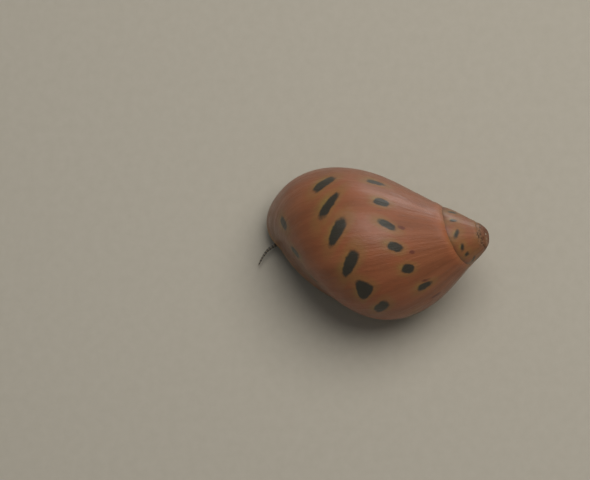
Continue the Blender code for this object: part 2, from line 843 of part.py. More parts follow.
def feeler(side_name, stations, finish):
    """One feeler in two lengths."""
    line = smooth_line(stations, 2 * FEELER_RINGS)
    count = len(line) - 1
    radii = []
    for index in range(count + 1):
        share = index / count
        if share < 0.5:
            radii.append(FEELER_ROOT + (FEELER_MIDDLE - FEELER_ROOT) * share * 2)
        else:
            radii.append(FEELER_MIDDLE + (FEELER_TIP - FEELER_MIDDLE) * (share * 2 - 1))
    middle = FEELER_RINGS
    shift = (line[middle + 1] - line[middle]).normalized() * GAP
    outer = [line[middle] + shift] + line[middle + 2 :]
    outer_radii = [radii[middle]] + radii[middle + 2 :]
    tapered_tube(f"tentacle_{side_name}_base", line[: middle + 1], radii[: middle + 1], FEELER_SIDES, finish)
    tapered_tube(f"tentacle_{side_name}_tip", outer, outer_radii, FEELER_SIDES, finish)


def feelers(finish):
    """The left one reaches out ahead of the rim; the right one bends back under it."""
    feeler("left", [body_place(*station) for station in LEFT_FEELER], finish)
    feeler("right", [body_place(*station) for station in RIGHT_FEELER], finish)


def eye_stalk(side_name, side, flesh_finish, eye_finish):
    """A short stump beside the feeler's root, with the eye at its end."""
    root = body_place(EYE_STALK_AHEAD, side * EYE_STALK_OUT, EYE_STALK_HEIGHT)
    outward = (left_vector() * side + Vector((0, 0, EYE_STALK_LIFT))).normalized()
    last = len(EYE_STALK_TAPER) - 1
    line = [root + outward * EYE_STALK_LENGTH * step / last for step in range(last + 1)]
    radii = [EYE_STALK_RADIUS * share for share in EYE_STALK_TAPER]
    tapered_tube(f"eye_stalk_{side_name}", line, radii, EYE_STALK_SIDES, flesh_finish)
    centre = line[-1] + outward * (GAP + EYE_FLATNESS * EYE_RADIUS)
    ball(f"eye_{side_name}", centre, EYE_RADIUS, outward, eye_finish)


def ball(name, centre, radius, outward, finish):
    """A slightly flattened ball."""
    first = outward.cross(Vector((0, 0, 1))).normalized()
    second = outward.cross(first)
    depth = EYE_FLATNESS * radius
    points = [centre - outward * depth]
    for ring in range(1, EYE_RINGS + 1):
        slope = math.pi * ring / (EYE_RINGS + 1)
        for side in range(EYE_SIDES):
            around = math.tau * side / EYE_SIDES
            spread = radius * math.sin(slope)
            sideways = math.cos(around) * first + math.sin(around) * second
            points.append(centre + spread * sideways - depth * math.cos(slope) * outward)
    points.append(centre + outward * depth)
    return mesh_object(name, points, dome_faces(EYE_RINGS, EYE_SIDES), finish)


def lid(finish):
    """The half-moon lid carried on the back of the foot, straight side forward."""
    outline = []
    middle = LID_FRONT - LID_STRAIGHTNESS
    for index in range(LID_POINTS):
        angle = math.tau * index / LID_POINTS
        length = LID_FRONT - middle if math.cos(angle) > 0 else middle - LID_BACK
        left = LID_HALF_WIDTH * math.copysign(abs(math.sin(angle)) ** LID_SQUARENESS, math.sin(angle))
        outline.append(body_place(middle + length * math.cos(angle), left, 0))
    centre = body_place(middle, 0, 0)
    return slab("operculum", outline, LID_LEVELS, (centre.x, centre.y), finish)


def main():
    clear_scene()
    columns = last_whorl_columns()
    loop = [column[-1] for column in columns[:-1]]
    shell_finish = material("shell_orange", SHELL_ORANGE, 0.3)
    whorl = body_whorl(columns, shell_finish)
    hollow_out(whorl, loop, shell_finish)
    spire(material("spire_orange", SPIRE_ORANGE, 0.32))
    worn_tip(material("worn_tip", WORN_CREAM, 0.7))
    deck(loop, material("deck_callus", DECK_CREAM, 0.35))
    stalk(loop, material("stalk_flesh", FLESH_GREY, 0.5))
    mantle_finish = material("mantle", MANTLE_DARK, 0.45)
    for part_name, span in MANTLE_SPANS.items():
        mantle_length(f"mantle_edge_{part_name}", loop, span, mantle_finish)
    foot_and_tail(material("foot_flesh", SOLE_GREY, 0.5), material("tail_flesh", SOLE_GREY, 0.5))
    head(material("head_flesh", FLESH_GREY, 0.45))
    feeler_finish = material("feeler_flesh", MANTLE_DARK, 0.5)
    feelers(feeler_finish)
    eye_finish = material("eye", EYE_BLACK, 0.1)
    for side_name, side in (("left", 1), ("right", -1)):
        eye_stalk(side_name, side, feeler_finish, eye_finish)
    lid(material("operculum_horn", LID_SLATE, 0.4))


main()
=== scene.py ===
"""The looks of a life-size nerite snail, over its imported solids.

Lengths are millimetres and angles degrees unless a name says otherwise; mesh_piece turns lengths
into metres. The head points along -Y, the outer lip lies on the animal's right, -X, the coil's tip
along +Y, and the sole rests at Z = 0.
"""

import math

import bpy
import numpy as np
from mathutils import Matrix, Vector


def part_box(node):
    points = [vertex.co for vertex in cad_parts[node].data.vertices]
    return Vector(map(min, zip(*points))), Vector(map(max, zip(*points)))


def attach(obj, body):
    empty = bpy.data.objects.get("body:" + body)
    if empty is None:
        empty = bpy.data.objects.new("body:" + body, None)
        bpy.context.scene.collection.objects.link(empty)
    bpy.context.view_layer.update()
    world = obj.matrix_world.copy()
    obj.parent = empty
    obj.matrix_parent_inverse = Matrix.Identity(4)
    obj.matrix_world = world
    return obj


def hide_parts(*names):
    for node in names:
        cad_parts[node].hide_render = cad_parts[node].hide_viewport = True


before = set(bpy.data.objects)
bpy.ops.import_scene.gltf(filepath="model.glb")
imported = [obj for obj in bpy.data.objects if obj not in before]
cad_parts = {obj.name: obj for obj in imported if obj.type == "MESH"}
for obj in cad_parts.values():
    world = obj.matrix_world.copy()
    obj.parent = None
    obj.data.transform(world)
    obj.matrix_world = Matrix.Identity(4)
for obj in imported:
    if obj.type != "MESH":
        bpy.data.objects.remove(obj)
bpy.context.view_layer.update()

MM = 0.001

# The coil, as in the solids
TIP = np.array((0.857, 14.395, 10.38))
AXIS_RISE = 20.6
AXIS_TURN = 4.1
WHORL_GROWTH = 2.335
OVAL_RADIUS = 2.84
OVAL_DEPTH = 13.05
OVAL_HALF_WIDTH = 5.70
OVAL_HALF_LENGTH = 9.79
OVAL_TILT = -21.1
SQUARENESS = -0.104
SKEW = 0.007
SHOULDER = 0.036
BASE_FULLNESS = 0.075
SUTURE = -0.8528
COVERED = 0.1597
SECTION_END = 1.907
FREE_SECTION = 0.35

# The straight part of the wall above the rim
RIM_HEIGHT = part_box("shell_body_whorl")[0].z / MM
WALL_LEAN = 20.0
LEAN_START = 30
LEAN_SPAN = 110
CURL_START = -40
CURL_SPAN = 100
CURL_SIDE = 0.36
CURL_BACK_START = -110
CURL_BACK_SPAN = 60
CURL_BACK = 0.40
FRONT_TURN = 50
FRONT_SPAN = 50

# The shell's mesh
OLDEST_TURN = -1080
OLDER_TURN = -540
LIP_TURN = 179.9
OLDEST_STEP = 4.0
OLD_STEP = 2.0
LAST_STEP = 0.75
SHELL_ROWS = 100
LINE_SAMPLES = 700
TUCK_UNDER = 0.05
WEAR_START = 2.45
WEAR_REACH = 0.95
GROWTH_SCALE = 60.0
LIP_LINE = 0.45

# The lip and the hollow inside it: how far in from the rim and how far up, from the edge inwards
LIP_RINGS = (
    (0.04, -0.03),
    (0.12, -0.05),
    (0.25, -0.04),
    (0.40, 0.00),
    (0.56, 0.06),
    (0.70, 0.15),
    (0.81, 0.30),
    (0.87, 0.55),
    (0.92, 0.90),
    (1.02, 1.25),
    (1.25, 1.50),
    (1.70, 1.60),
)
CEILING_SHARES = (0.75, 0.5, 0.25)
CEILING_RISE = 0.1
RIM_CENTRE = TIP[:2] + np.array((-1.6, -16.0))

# The dashes seen in the photograph: section angle, turn, length, width, slant, and how much wider
# the end away from the suture is
SHOULDER_DASHES = (
    (0.56, 43.5, 2.75, 1.16, -43, 0.05),
    (0.55, 23.5, 3.30, 0.95, -50, 0.22),
    (0.56, 2.0, 3.05, 1.12, -48, -0.24),
    (0.56, -21.5, 2.75, 1.12, -45, -0.28),
    (0.58, -44.5, 2.05, 1.55, -52, -0.46),
    (0.53, -64.5, 1.80, 1.15, -27, -0.10),
)
MIDDLE_DASHES = (
    (0.00, 51.5, 1.95, 0.85, -3, 0.1),
    (-0.05, 27.5, 1.75, 1.20, 13, 0.1),
    (-0.05, 5.5, 2.35, 0.92, 35, 0.1),
    (-0.05, -14.5, 1.90, 1.14, 36, 0.0),
    (-0.09, -37.0, 1.55, 1.14, 29, 0.1),
    (-0.15, -63.5, 1.75, 0.85, 11, 0.2),
)
BASE_DASHES = (
    (1.43, 29.0, 2.05, 0.95, -88, 0.0),
    (1.57, 1.0, 1.80, 0.95, 74, 0.0),
    (1.64, -31.0, 1.20, 0.80, 72, 0.0),
)
RED_DOTS = (
    (-0.23, 3.5, 0.75, 0.42, 32, 0.0),
    (-0.25, -22.0, 0.52, 0.38, 26, 0.0),
    (-0.21, -57.5, 0.90, 0.30, 20, 0.0),
    (-0.11, -90.0, 1.40, 0.45, 28, 0.0),
)
SPIRE_DASHES = (
    (-0.14, -332.0, 0.70, 0.40, -18, 0.0),
    (-0.14, -363.5, 0.78, 0.42, -47, 0.0),
    (-0.14, -395.0, 0.62, 0.34, -61, 0.0),
    (-0.14, -416.5, 0.52, 0.34, -14, 0.0),
)
# The rows carried on where the photograph doesn't see: angle, spacing, length, width, slant, and
# the stretches of turn
CARRIED_ROWS = (
    (0.56, 21.5, 2.9, 1.1, -45, ((86, 178), (-178, -100))),
    (-0.07, 23.5, 1.8, 1.0, 20, ((98, 178), (-178, -112))),
    (1.50, 29.0, 1.8, 0.95, -80, ((84, 110), (-130, -62))),
    (-0.14, 30.5, 1.75, 0.95, -35, ((-720, -440), (-302, -184))),
)
DASH_VARIATION = (0.02, 0.08, 0.16, 0.12, 6, 0.14)
DASH_SHEAR = -0.22
DASH_POWER = 2.8
DASH_REACH = 4.0
HALO_SIZE = 0.62
HALO_LENGTH = 0.55
HALO_SHIFT = (0.40, 0.30)
FAR_AWAY = 9.0

# Waves that add up to a wobble, each with its rate, height and start, and their heights' sum
WAVES = ((6.28, 1.0, 0.3), (3.71, 0.8, 1.9), (9.83, 0.5, 4.1), (15.7, 0.3, 2.2))
WAVE_SUM = 2.6

# The shell's relief where a whorl has its full size
REST_HEIGHT = 0.016
LINE_HEIGHT = 0.009
DENT_HEIGHT = 0.03
COLLAR_HEIGHT = 0.06
SUTURE_DROP = 0.05
STEP_DROP = 0.17
RIM_SETTLE = 0.8

# What the shell's material reads inside the rim, where nothing is marked and the rest is zero
HOLLOW_VALUES = {"mark": FAR_AWAY, "dot": FAR_AWAY, "depth": 20.0, "angle": 1.9, "lip": 1.0}

# The deck's straight edge and teeth
DECK_EDGE = TIP[:2] + np.array((0.4, -14.4))
DECK_EDGE_TURN = 17
DECK_TOP = RIM_HEIGHT + 0.9
DECK_INSET = 0.86
DECK_PITCH = 0.08
TOOTH_SPACING = 1.15
TOOTH_HEIGHT = 0.22
TOOTH_ROW = 2.9
DECK_BOX = ((-1.4, -7.0, RIM_HEIGHT - 0.12), (8.0, 8.4, DECK_TOP + 0.2))

# The worn tip and the white spot on it
TIP_BASE = 2.0
TIP_RADIUS = 1.24
TIP_HEIGHT = 0.5
WHITE_SPOT_OUT = 0.66
WHITE_SPOT_UP = 0.42
WHITE_SPOT_SIZE = 0.15

# The lid, from the foot's centre
LID_BACK = -8.0
LID_FRONT = -4.9
LID_HALF_WIDTH = 3.1
LID_BOTTOM = 1.2
LID_TOP = 1.7
LID_MIDDLE_SETBACK = 0.9
LID_GROWTH_START = (0.25, 0.88)
LID_LINES = 17
LID_LINE_HEIGHT = 0.010
LID_BAND_RATE = 107.0

# The soft body, in lengths ahead of the foot's centre, to its left and up
FLESH_PITCH = 0.085
HEADING = 10
FOOT_CENTRE = TIP[:2] + np.array((-2.6, -15.6))
FOOT_HALF_LENGTH = 7.7
FOOT_HALF_WIDTH = 4.9
FOOT_FRONT_FULLNESS = 0.12
FOOT_EDGE = 0.18
FOOT_RISE = 0.87
FOOT_SLOPE = 1.7
FOLD_HEIGHT = 0.035
STALK_INSET = 2.4
STALK_DECK_GAP = 0.65
STALK_BACK = -4.4
STALK_FRONT = 7.9
STALK_TOP = RIM_HEIGHT + 1.4
MANTLE_INSET = 1.55
MANTLE_HALF_WIDTH = 0.42
MANTLE_BOTTOM = RIM_HEIGHT + 0.05
MANTLE_TOP = RIM_HEIGHT + 1.1
MOUTH_CENTRE = TIP[:2] + np.array((-4.4, -17.2))
MANTLE_SPAN = (92, 296)
MANTLE_CORNER = 0.30
FLESH_BOX = ((-8.9, -13.9, 0.0), (3.9, 7.0, 4.1))
LIMB_START = 6.6

# The head's rounded masses: middle and half size ahead, to the left and up. Lobes and lips are
# paired, and the mouth is the slit between the lips.
NECK = ((7.5, 0, 1.15), (2.0, 1.85, 0.84))
CROWN = ((8.85, 0, 1.12), (1.35, 1.78, 0.84))
LOBE = ((9.55, 0.86, 0.86), (0.92, 0.90, 0.70))
LIP = ((9.98, 0.27, 0.72), (0.30, 0.17, 0.46))
MOUTH = ((10.2, 0, 0.70), (0.75, 0.10, 0.42))
CREASE_HEIGHT = 0.022
CREASE_END = 9.6
FEELER_RADII = (0.27, 0.19, 0.08)
RING_SPACING = 0.36
LEFT_FEELER = (
    (8.9, 1.55, 1.20),
    (9.25, 2.05, 1.20),
    (9.85, 2.55, 1.22),
    (10.42, 3.13, 1.12),
    (10.85, 4.05, 1.00),
    (11.15, 5.01, 0.85),
)
RIGHT_FEELER = (
    (8.9, -1.6, 1.15),
    (9.25, -2.05, 1.20),
    (9.5, -2.9, 1.22),
    (9.15, -3.8, 1.12),
    (8.35, -4.45, 1.0),
    (7.35, -4.9, 0.88),
)
EYE_ROOT = (8.45, 2.04, 1.4)
EYE_STALK_LENGTH = 0.5
EYE_STALK_RADIUS = 0.38
EYE_LIFT = 0.25
EYE_RADIUS = 0.29
EYE_GAP = 0.3
EYE_SINK = 0.09
EYE_FLATNESS = 0.8
EYE_END = 0.02


def unit(vector):
    vector = np.asarray(vector, float)
    return vector / np.linalg.norm(vector, axis=-1, keepdims=True)


def ease(value):
    """A smooth step from 0 to 1."""
    value = np.clip(value, 0.0, 1.0)
    return value * value * (3 - 2 * value)


def bell(value, width):
    return np.exp(-((value / width) ** 2))


def whorl_size(turn):
    return WHORL_GROWTH ** (turn / 360)


def wobble(place, seed=0.0):
    """A smooth line of bumps of about unit length and height, the same each run."""
    total = 0.0
    for rate, height, start in WAVES:
        total = total + height * np.sin(place * rate + start + seed * rate)
    return total / WAVE_SUM


def coil_directions():
    """The coil's axis towards its tip, the most upward direction square to it, and the third."""
    rise, turned = math.radians(AXIS_RISE), math.radians(AXIS_TURN)
    axis = np.array((-math.sin(turned) * math.cos(rise), math.cos(turned) * math.cos(rise), math.sin(rise)))
    upward = unit(np.array((0, 0, 1)) - axis[2] * axis)
    return axis, upward, np.cross(upward, axis)


AXIS, UPWARD, RIGHTWARD = coil_directions()


def section(angle):
    """Radius from the coil's axis and depth from its tip, at an angle round the oval section."""
    shape = 1 + SQUARENESS * np.cos(2 * angle) + SKEW * np.sin(2 * angle)
    shape = shape + SHOULDER * np.cos(3 * angle) + BASE_FULLNESS * np.sin(3 * angle)
    across = OVAL_HALF_WIDTH * np.cos(angle) * shape
    along = OVAL_HALF_LENGTH * np.sin(angle) * shape
    tilt = math.radians(OVAL_TILT)
    radius = OVAL_RADIUS + across * math.cos(tilt) - along * math.sin(tilt)
    depth = OVAL_DEPTH + across * math.sin(tilt) + along * math.cos(tilt)
    return radius, depth


def shell_points(turn, angle):
    turn, angle = np.broadcast_arrays(np.asarray(turn, float), np.asarray(angle, float))
    size = whorl_size(turn)
    radius, depth = section(angle)
    around = np.radians(turn)
    outward = np.cos(around)[..., None] * UPWARD + np.sin(around)[..., None] * RIGHTWARD
    return TIP + (size * radius)[..., None] * outward - (size * depth)[..., None] * AXIS


def shell_directions(turn, angle):
    """Along the turn, along the section and outwards, at points of the spiral."""
    along = shell_points(turn, np.asarray(angle) + 0.001) - shell_points(turn, np.asarray(angle) - 0.001)
    around = shell_points(np.asarray(turn) + 0.05, angle) - shell_points(np.asarray(turn) - 0.05, angle)
    return unit(around), unit(along), unit(np.cross(around, along))


def curl_limit(turn):
    """How far under the wall curls at this turn before it runs straight to the rim."""
    side = CURL_SIDE * ease((CURL_START - turn) / CURL_SPAN)
    back = CURL_BACK * ease((CURL_BACK_START - turn) / CURL_BACK_SPAN)
    return side + back + ease((turn - FRONT_TURN) / FRONT_SPAN)


def wall_down(turn):
    lean = math.radians(WALL_LEAN * ease((LEAN_START - turn) / LEAN_SPAN))
    return np.array((-math.sin(lean), 0, -math.cos(lean)))


def wall_line(turn):
    """Points from the suture to the rim at one turn of the last whorl, with their section angles."""
    angles = np.linspace(SUTURE - TUCK_UNDER, SECTION_END, LINE_SAMPLES)
    points = shell_points(turn, angles)
    outward = shell_directions(turn, angles)[2]
    down = wall_down(turn)
    past = RIM_HEIGHT - points[:, 2]
    curled = outward @ down - curl_limit(turn)
    past = np.where(angles > SUTURE + FREE_SECTION, np.maximum(past, curled), past)
    stop = int(np.argmax(past > 0)) if (past > 0).any() else LINE_SAMPLES - 1
    if stop == 0:
        return points[:1], angles[:1]
    share = min(past[stop - 1] / (past[stop - 1] - past[stop]), 1.0) if past[stop] > 0 else 1.0
    angle = angles[stop - 1] + share * (angles[stop] - angles[stop - 1])
    corner = shell_points(turn, angle)
    facing = shell_directions(turn, angle)[2]
    down = unit(down - (down @ facing) * facing)
    rim = corner + down * (corner[2] - RIM_HEIGHT) / -down[2]
    reach = np.linalg.norm(rim - corner) / (whorl_size(turn) * OVAL_HALF_WIDTH)
    line = np.vstack([points[:stop], corner, rim])
    return line, np.concatenate([angles[:stop], [angle, angle + reach]])


def covered_line(turn):
    """Points from the suture to just under the next whorl's edge, with their section angles."""
    angles = np.linspace(SUTURE - TUCK_UNDER, COVERED + TUCK_UNDER, LINE_SAMPLES // 3)
    return shell_points(turn, angles), angles


def evenly(line, angles, count):
    """The same line as count + 1 evenly spaced points: places, angles and distances along it."""
    steps = np.linalg.norm(np.diff(line, axis=0), axis=1)
    length = np.concatenate([[0.0], np.cumsum(steps)])
    wanted = np.linspace(0, length[-1], count + 1)
    places = np.column_stack([np.interp(wanted, length, line[:, i]) for i in range(3)])
    return places, np.interp(wanted, length, angles), wanted


def shell_grid():
    """Columns of the whole outer surface, oldest turn first."""
    old = np.append(np.arange(OLDEST_TURN, OLDER_TURN, OLDEST_STEP), np.arange(OLDER_TURN, -180, OLD_STEP))
    last = np.append(np.arange(-180, LIP_TURN - LAST_STEP, LAST_STEP), LIP_TURN)
    turns = np.concatenate([old, last])
    lines = [covered_line(turn) if turn < -180 else wall_line(turn) for turn in turns]
    places, angles, across = (np.array(part) for part in zip(*(evenly(*line, SHELL_ROWS) for line in lines)))
    return turns, places, angles, across, len(old)


def blunted(places):
    """The places with the coil's oldest part worn down to a blunt end."""
    depth = -(places - TIP) @ AXIS
    over = np.maximum(WEAR_START - depth, 0)
    worn = WEAR_REACH * (1 - np.exp(-over / WEAR_REACH))
    return places - ((over - worn)[..., None]) * AXIS


def grid_normals(places):
    around = np.gradient(places, axis=0)
    along = np.gradient(places, axis=1)
    normal = np.cross(around, along)
    return normal / np.maximum(np.linalg.norm(normal, axis=2, keepdims=True), 1e-9)


def relief(turns, across):
    """Growth relief of the outer surface, in millimetres."""
    size = whorl_size(turns)
    growth = (GROWTH_SCALE * size)[:, None] + 0.25 * wobble(across / 6.0, 0.4)
    size = size[:, None]
    rests = REST_HEIGHT * wobble(growth / 3.1) + LINE_HEIGHT * wobble(growth / 0.9, 2.0)
    dents = DENT_HEIGHT * wobble(growth / 14, 5.0) * wobble(across / 9 + 0.3, 1.0)
    collar = COLLAR_HEIGHT * size * bell(across / size - 0.8, 0.5)
    edge = SUTURE_DROP * size * bell(across, 0.25 * size)
    from_next = (across[:, -1:] - across) / size
    step = np.where((turns < -180)[:, None], STEP_DROP * size * bell(from_next, 0.9), 0)
    return (rests + dents + collar) * ease(size * 2.5) - edge - step


def quads(first, columns, rows, closed=False):
    """Faces between neighbouring columns of rows + 1 points each, numbered column by column."""
    column = np.arange(columns if closed else columns - 1)
    row = np.arange(rows)
    here = first + column[:, None] * (rows + 1) + row
    after = first + ((column + 1) % columns)[:, None] * (rows + 1) + row
    return np.stack([here, after, after + 1, here + 1], axis=-1).reshape(-1, 4)


def ring_stretch(loop):
    """How much longer an inset is along the line to the rim's centre than square to the rim."""
    along = np.roll(loop, -3, axis=0) - np.roll(loop, 3, axis=0)
    square = unit(np.column_stack([-along[:, 1], along[:, 0]]))
    towards = unit(RIM_CENTRE - loop)
    stretch = 1 / np.maximum(np.abs((square * towards).sum(1)), 0.55)
    for _ in range(20):
        stretch = (np.roll(stretch, 1) + 2 * stretch + np.roll(stretch, -1)) / 4
    return towards, stretch


def placed(name, data):
    made = bpy.data.objects.new(name, data)
    bpy.context.scene.collection.objects.link(made)
    return made


def mesh_piece(name, points, faces, finish, replaced=(), values=None):
    """One object from points in millimetres, riding on the root, in place of the named nodes."""
    mesh = bpy.data.meshes.new(name)
    mesh.from_pydata(np.asarray(points) * MM, [], [list(face) for face in faces])
    mesh.validate()
    for label, numbers in (values or {}).items():
        layer = mesh.attributes.new(label, "FLOAT", "POINT")
        layer.data.foreach_set("value", np.ascontiguousarray(numbers, np.float32).ravel())
    mesh.shade_smooth()
    mesh.materials.append(finish)
    made = placed(name, mesh)
    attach(made, "root")
    if replaced:
        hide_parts(*replaced)
    return made


def carried_dashes():
    """The rows carried on, each dash a little different."""
    chance = np.random.default_rng(7)
    for angle, spacing, length, width, slant, stretches in CARRIED_ROWS:
        for turn in np.concatenate([np.arange(*stretch, spacing) for stretch in stretches]):
            shift = chance.normal(size=6) * DASH_VARIATION
            size = whorl_size(turn)
            longer, wider = size * length * (1 + shift[2]), size * width * (1 + shift[3])
            yield angle + shift[0], turn + spacing * shift[1], longer, wider, slant + shift[4], shift[5]


def dash_frame(points, dash, shift_along=0.0, shift_around=0.0):
    """Offsets of the points from a dash's middle: lengthways, sideways and off the surface."""
    angle, turn, _, _, slant, _ = dash
    around, along, outward = shell_directions(turn, angle)
    middle = shell_points(turn, angle) + shift_along * along + shift_around * around
    slanted = math.radians(slant)
    lengthways = math.cos(slanted) * along + math.sin(slanted) * around
    offset = points - middle
    return offset @ lengthways, offset @ np.cross(outward, lengthways), offset @ outward


def dash_distance(points, dashes):
    """How far each point lies outside the nearest dash; negative inside one."""
    nearest = np.full(len(points), FAR_AWAY)
    for dash in dashes:
        _, _, length, width, _, taper = dash
        long_part, side_part, off_part = dash_frame(points, dash)
        near = long_part**2 + side_part**2 + off_part**2 < DASH_REACH**2
        place = long_part[near] / (length / 2)
        wide = 1 + taper * np.clip(place, -1, 1)
        slid = np.abs(place + DASH_SHEAR * side_part[near] / (length / 2))
        aside = np.abs(side_part[near]) / (width / 2 * wide)
        distance = ((slid**DASH_POWER + aside**DASH_POWER) ** (1 / DASH_POWER) - 1) * width / 2
        nearest[near] = np.minimum(nearest[near], distance)
    return nearest


def halo_strength(points, dashes):
    """Soft ochre patches beside each large dash, on the side away from the suture."""
    strength = np.zeros(len(points))
    for dash in dashes:
        _, turn, length, width, _, _ = dash
        size = whorl_size(turn)
        long_part, side_part, off_part = dash_frame(points, dash, *(shift * size for shift in HALO_SHIFT))
        squared = (long_part / (HALO_LENGTH * length)) ** 2
        squared += (side_part**2 + off_part**2) / (HALO_SIZE * size) ** 2
        strength = np.maximum(strength, np.exp(-squared) * min(width / (0.9 * size), 1))
    return strength


def coil_values(points, turns, angles, across):
    """What the shell's material reads at each point of the outer surface."""
    size = whorl_size(turns)
    older = (turns < -180)[:, None]
    from_suture = across / size[:, None]
    to_edge = across[:, -1:] - across
    from_next = to_edge / size[:, None]
    dashes = [*SHOULDER_DASHES, *MIDDLE_DASHES, *BASE_DASHES, *SPIRE_DASHES, *carried_dashes()]
    values = {
        "growth": np.repeat(GROWTH_SCALE * size, SHELL_ROWS + 1),
        "across": across,
        "mark": dash_distance(points, dashes),
        "halo": halo_strength(points, dashes),
        "depth": -(points - TIP) @ AXIS,
        "inside": np.zeros(len(points)),
        "dot": dash_distance(points, RED_DOTS),
        "angle": angles,
        # Painted shade on the older whorl beside the suture, and painted shadow in the suture's crease
        "crease_shadow": np.where(older, bell(from_next, 0.42), 0),
        "shade": np.where(older, bell(from_next, 1.6), 0),
        "lip": np.where(older, 0, bell(to_edge, LIP_LINE)),
        # Painted light on the last whorl's collar beside the suture
        "collar": np.where(older, 0, bell(from_suture - 0.65, 0.5)),
    }
    return {label: numbers.ravel() for label, numbers in values.items()}


def hollow_values(labels, turns, across, rows):
    """The same for the rings inside the rim, from the rim's turns and distances across."""
    spots = len(turns) * (rows + 1)
    values = {label: np.full(spots, HOLLOW_VALUES.get(label, 0.0)) for label in labels}
    values["growth"] = np.repeat(GROWTH_SCALE * whorl_size(turns), rows + 1)
    values["across"] = np.repeat(across, rows + 1)
    values["inside"] = np.tile(np.clip(np.linspace(0.0, 1.0, rows + 1) * rows / 5, 0, 1), len(turns))
    return values


def hollow_grid(rim):
    """Columns from the rim round the lip and in along the hollow's ceiling, and its middle."""
    towards, stretch = ring_stretch(rim[:, :2])
    inwards = np.column_stack([towards * stretch[:, None], np.zeros(len(rim))])
    rings = [rim + inset * inwards + np.array((0, 0, up)) for inset, up in LIP_RINGS]
    innermost = rings[-1]
    middle = np.append(RIM_CENTRE, innermost[0, 2] + CEILING_RISE)
    rings += [middle + (innermost - middle) * share for share in CEILING_SHARES]
    return np.array([rim, *rings]).transpose(1, 0, 2), middle


def build_shell(finish):
    """The whole shell: the coil's outer surface, its lip and the hollow inside it."""
    turns, places, angles, across, old = shell_grid()
    places = blunted(places)
    height = relief(turns, across)
    settle = np.ones_like(height)
    settle[old:] = ease((across[old:, -1:] - across[old:]) / RIM_SETTLE)
    places = places + (height * settle)[..., None] * grid_normals(places)
    places[old:, -1, 2] = RIM_HEIGHT
    outer = places.reshape(-1, 3)
    inner, middle = hollow_grid(places[old:, -1])
    count, rows = len(inner), inner.shape[1] - 1
    first = len(outer)
    last_ring = first + np.arange(count) * (rows + 1) + rows
    top = np.full(count, first + count * (rows + 1))
    faces = quads(0, len(turns), SHELL_ROWS).tolist()
    faces += quads(first, count, rows, closed=True).tolist()
    faces += np.column_stack([last_ring, np.roll(last_ring, -1), top]).tolist()
    points = np.concatenate([outer, inner.reshape(-1, 3), middle[None]])
    values = coil_values(outer, turns, angles, across)
    added = hollow_values(values, turns[old:], across[old:, -1], rows)
    for label in values:
        values[label] = np.concatenate([values[label], added[label], added[label][-1:]])
    return mesh_piece("shell", points, faces, finish, ("shell_body_whorl", "shell_spire"), values)


# Soft shapes as distances: negative inside, about millimetres outside

AXES = ((0, 1, 2), (1, 2, 0), (2, 0, 1))


def joined(first, second, radius):
    """Both shapes together, with a rounded meeting."""
    share = np.clip(0.5 + 0.5 * (second - first) / radius, 0, 1)
    return second + (first - second) * share - radius * share * (1 - share)


def within(first, second, radius):
    """What lies in both shapes."""
    return -joined(-first, -second, radius)


def surface_of(field, corner, pitch):
    """Points and quads of the surface where a sampled distance is zero."""
    cells = np.array(field.shape) - 1
    total = np.zeros((3, *cells))
    count = np.zeros(cells)
    crossings = []
    for axis, first, second in AXES:
        lower = np.take(field, range(cells[axis]), axis=axis)
        upper = np.take(field, range(1, cells[axis] + 1), axis=axis)
        crossed = (lower < 0) != (upper < 0)
        share = np.where(crossed, lower / np.where(crossed, lower - upper, 1), 0)
        crossings.append((crossed, lower < 0))
        for near, far in ((0, 0), (0, 1), (1, 0), (1, 1)):
            part = [slice(None)] * 3
            part[first] = slice(near, cells[first] + near)
            part[second] = slice(far, cells[second] + far)
            here = crossed[tuple(part)]
            count += here
            total[axis] += share[tuple(part)]
            total[first] += near * here
            total[second] += far * here
    used = count > 0
    number = np.full(cells, -1)
    number[used] = np.arange(used.sum())
    places = np.argwhere(used) + (total[:, used] / count[used]).T
    faces = []
    for (_, first, second), (crossed, low_inside) in zip(AXES, crossings):
        spots = np.argwhere(crossed)
        aside = spots[:, (first, second)]
        spots = spots[((aside > 0) & (aside < cells[[first, second]])).all(axis=1)]
        back = np.zeros((4, 1, 3), int)
        back[:, 0, first] = (1, 0, 0, 1)
        back[:, 0, second] = (1, 1, 0, 0)
        quad = number[tuple(np.moveaxis(spots - back, -1, 0))].T
        inside = low_inside[tuple(spots.T)]
        faces.append(np.where(inside[:, None], quad, quad[:, ::-1]))
    return np.asarray(corner) + places * pitch, np.concatenate(faces)


def sample_grid(low, high, pitch):
    """Coordinates of a box of samples, with no sample on the floor."""
    axes = [np.arange(low[i], high[i], pitch) for i in range(2)]
    axes.append(np.arange(-1.5, (high[2] - low[2]) / pitch) * pitch + low[2])
    return [axis[0] for axis in axes], np.meshgrid(*axes, indexing="ij")


def loop_distance(x, y, loop):
    """Signed distance in plan to a closed loop, negative inside."""
    best = np.full(x.shape, 1e9)
    inside = np.zeros(x.shape, bool)
    for start, end in zip(loop, np.roll(loop, -1, axis=0)):
        span = end - start
        length = span @ span
        if length < 1e-12:
            continue
        share = np.clip(((x - start[0]) * span[0] + (y - start[1]) * span[1]) / length, 0, 1)
        gap = (x - start[0] - share * span[0]) ** 2 + (y - start[1] - share * span[1]) ** 2
        best = np.minimum(best, gap)
        if start[1] != end[1]:
            between = (start[1] > y) != (end[1] > y)
            inside ^= between & (x < start[0] + (y - start[1]) * span[0] / span[1])
    return np.where(inside, -1, 1) * np.sqrt(best)


def rim_loop():
    """The rim in plan, thinned out."""
    return np.array([wall_line(turn)[0][-1, :2] for turn in np.arange(-180, 180, 3.0)])


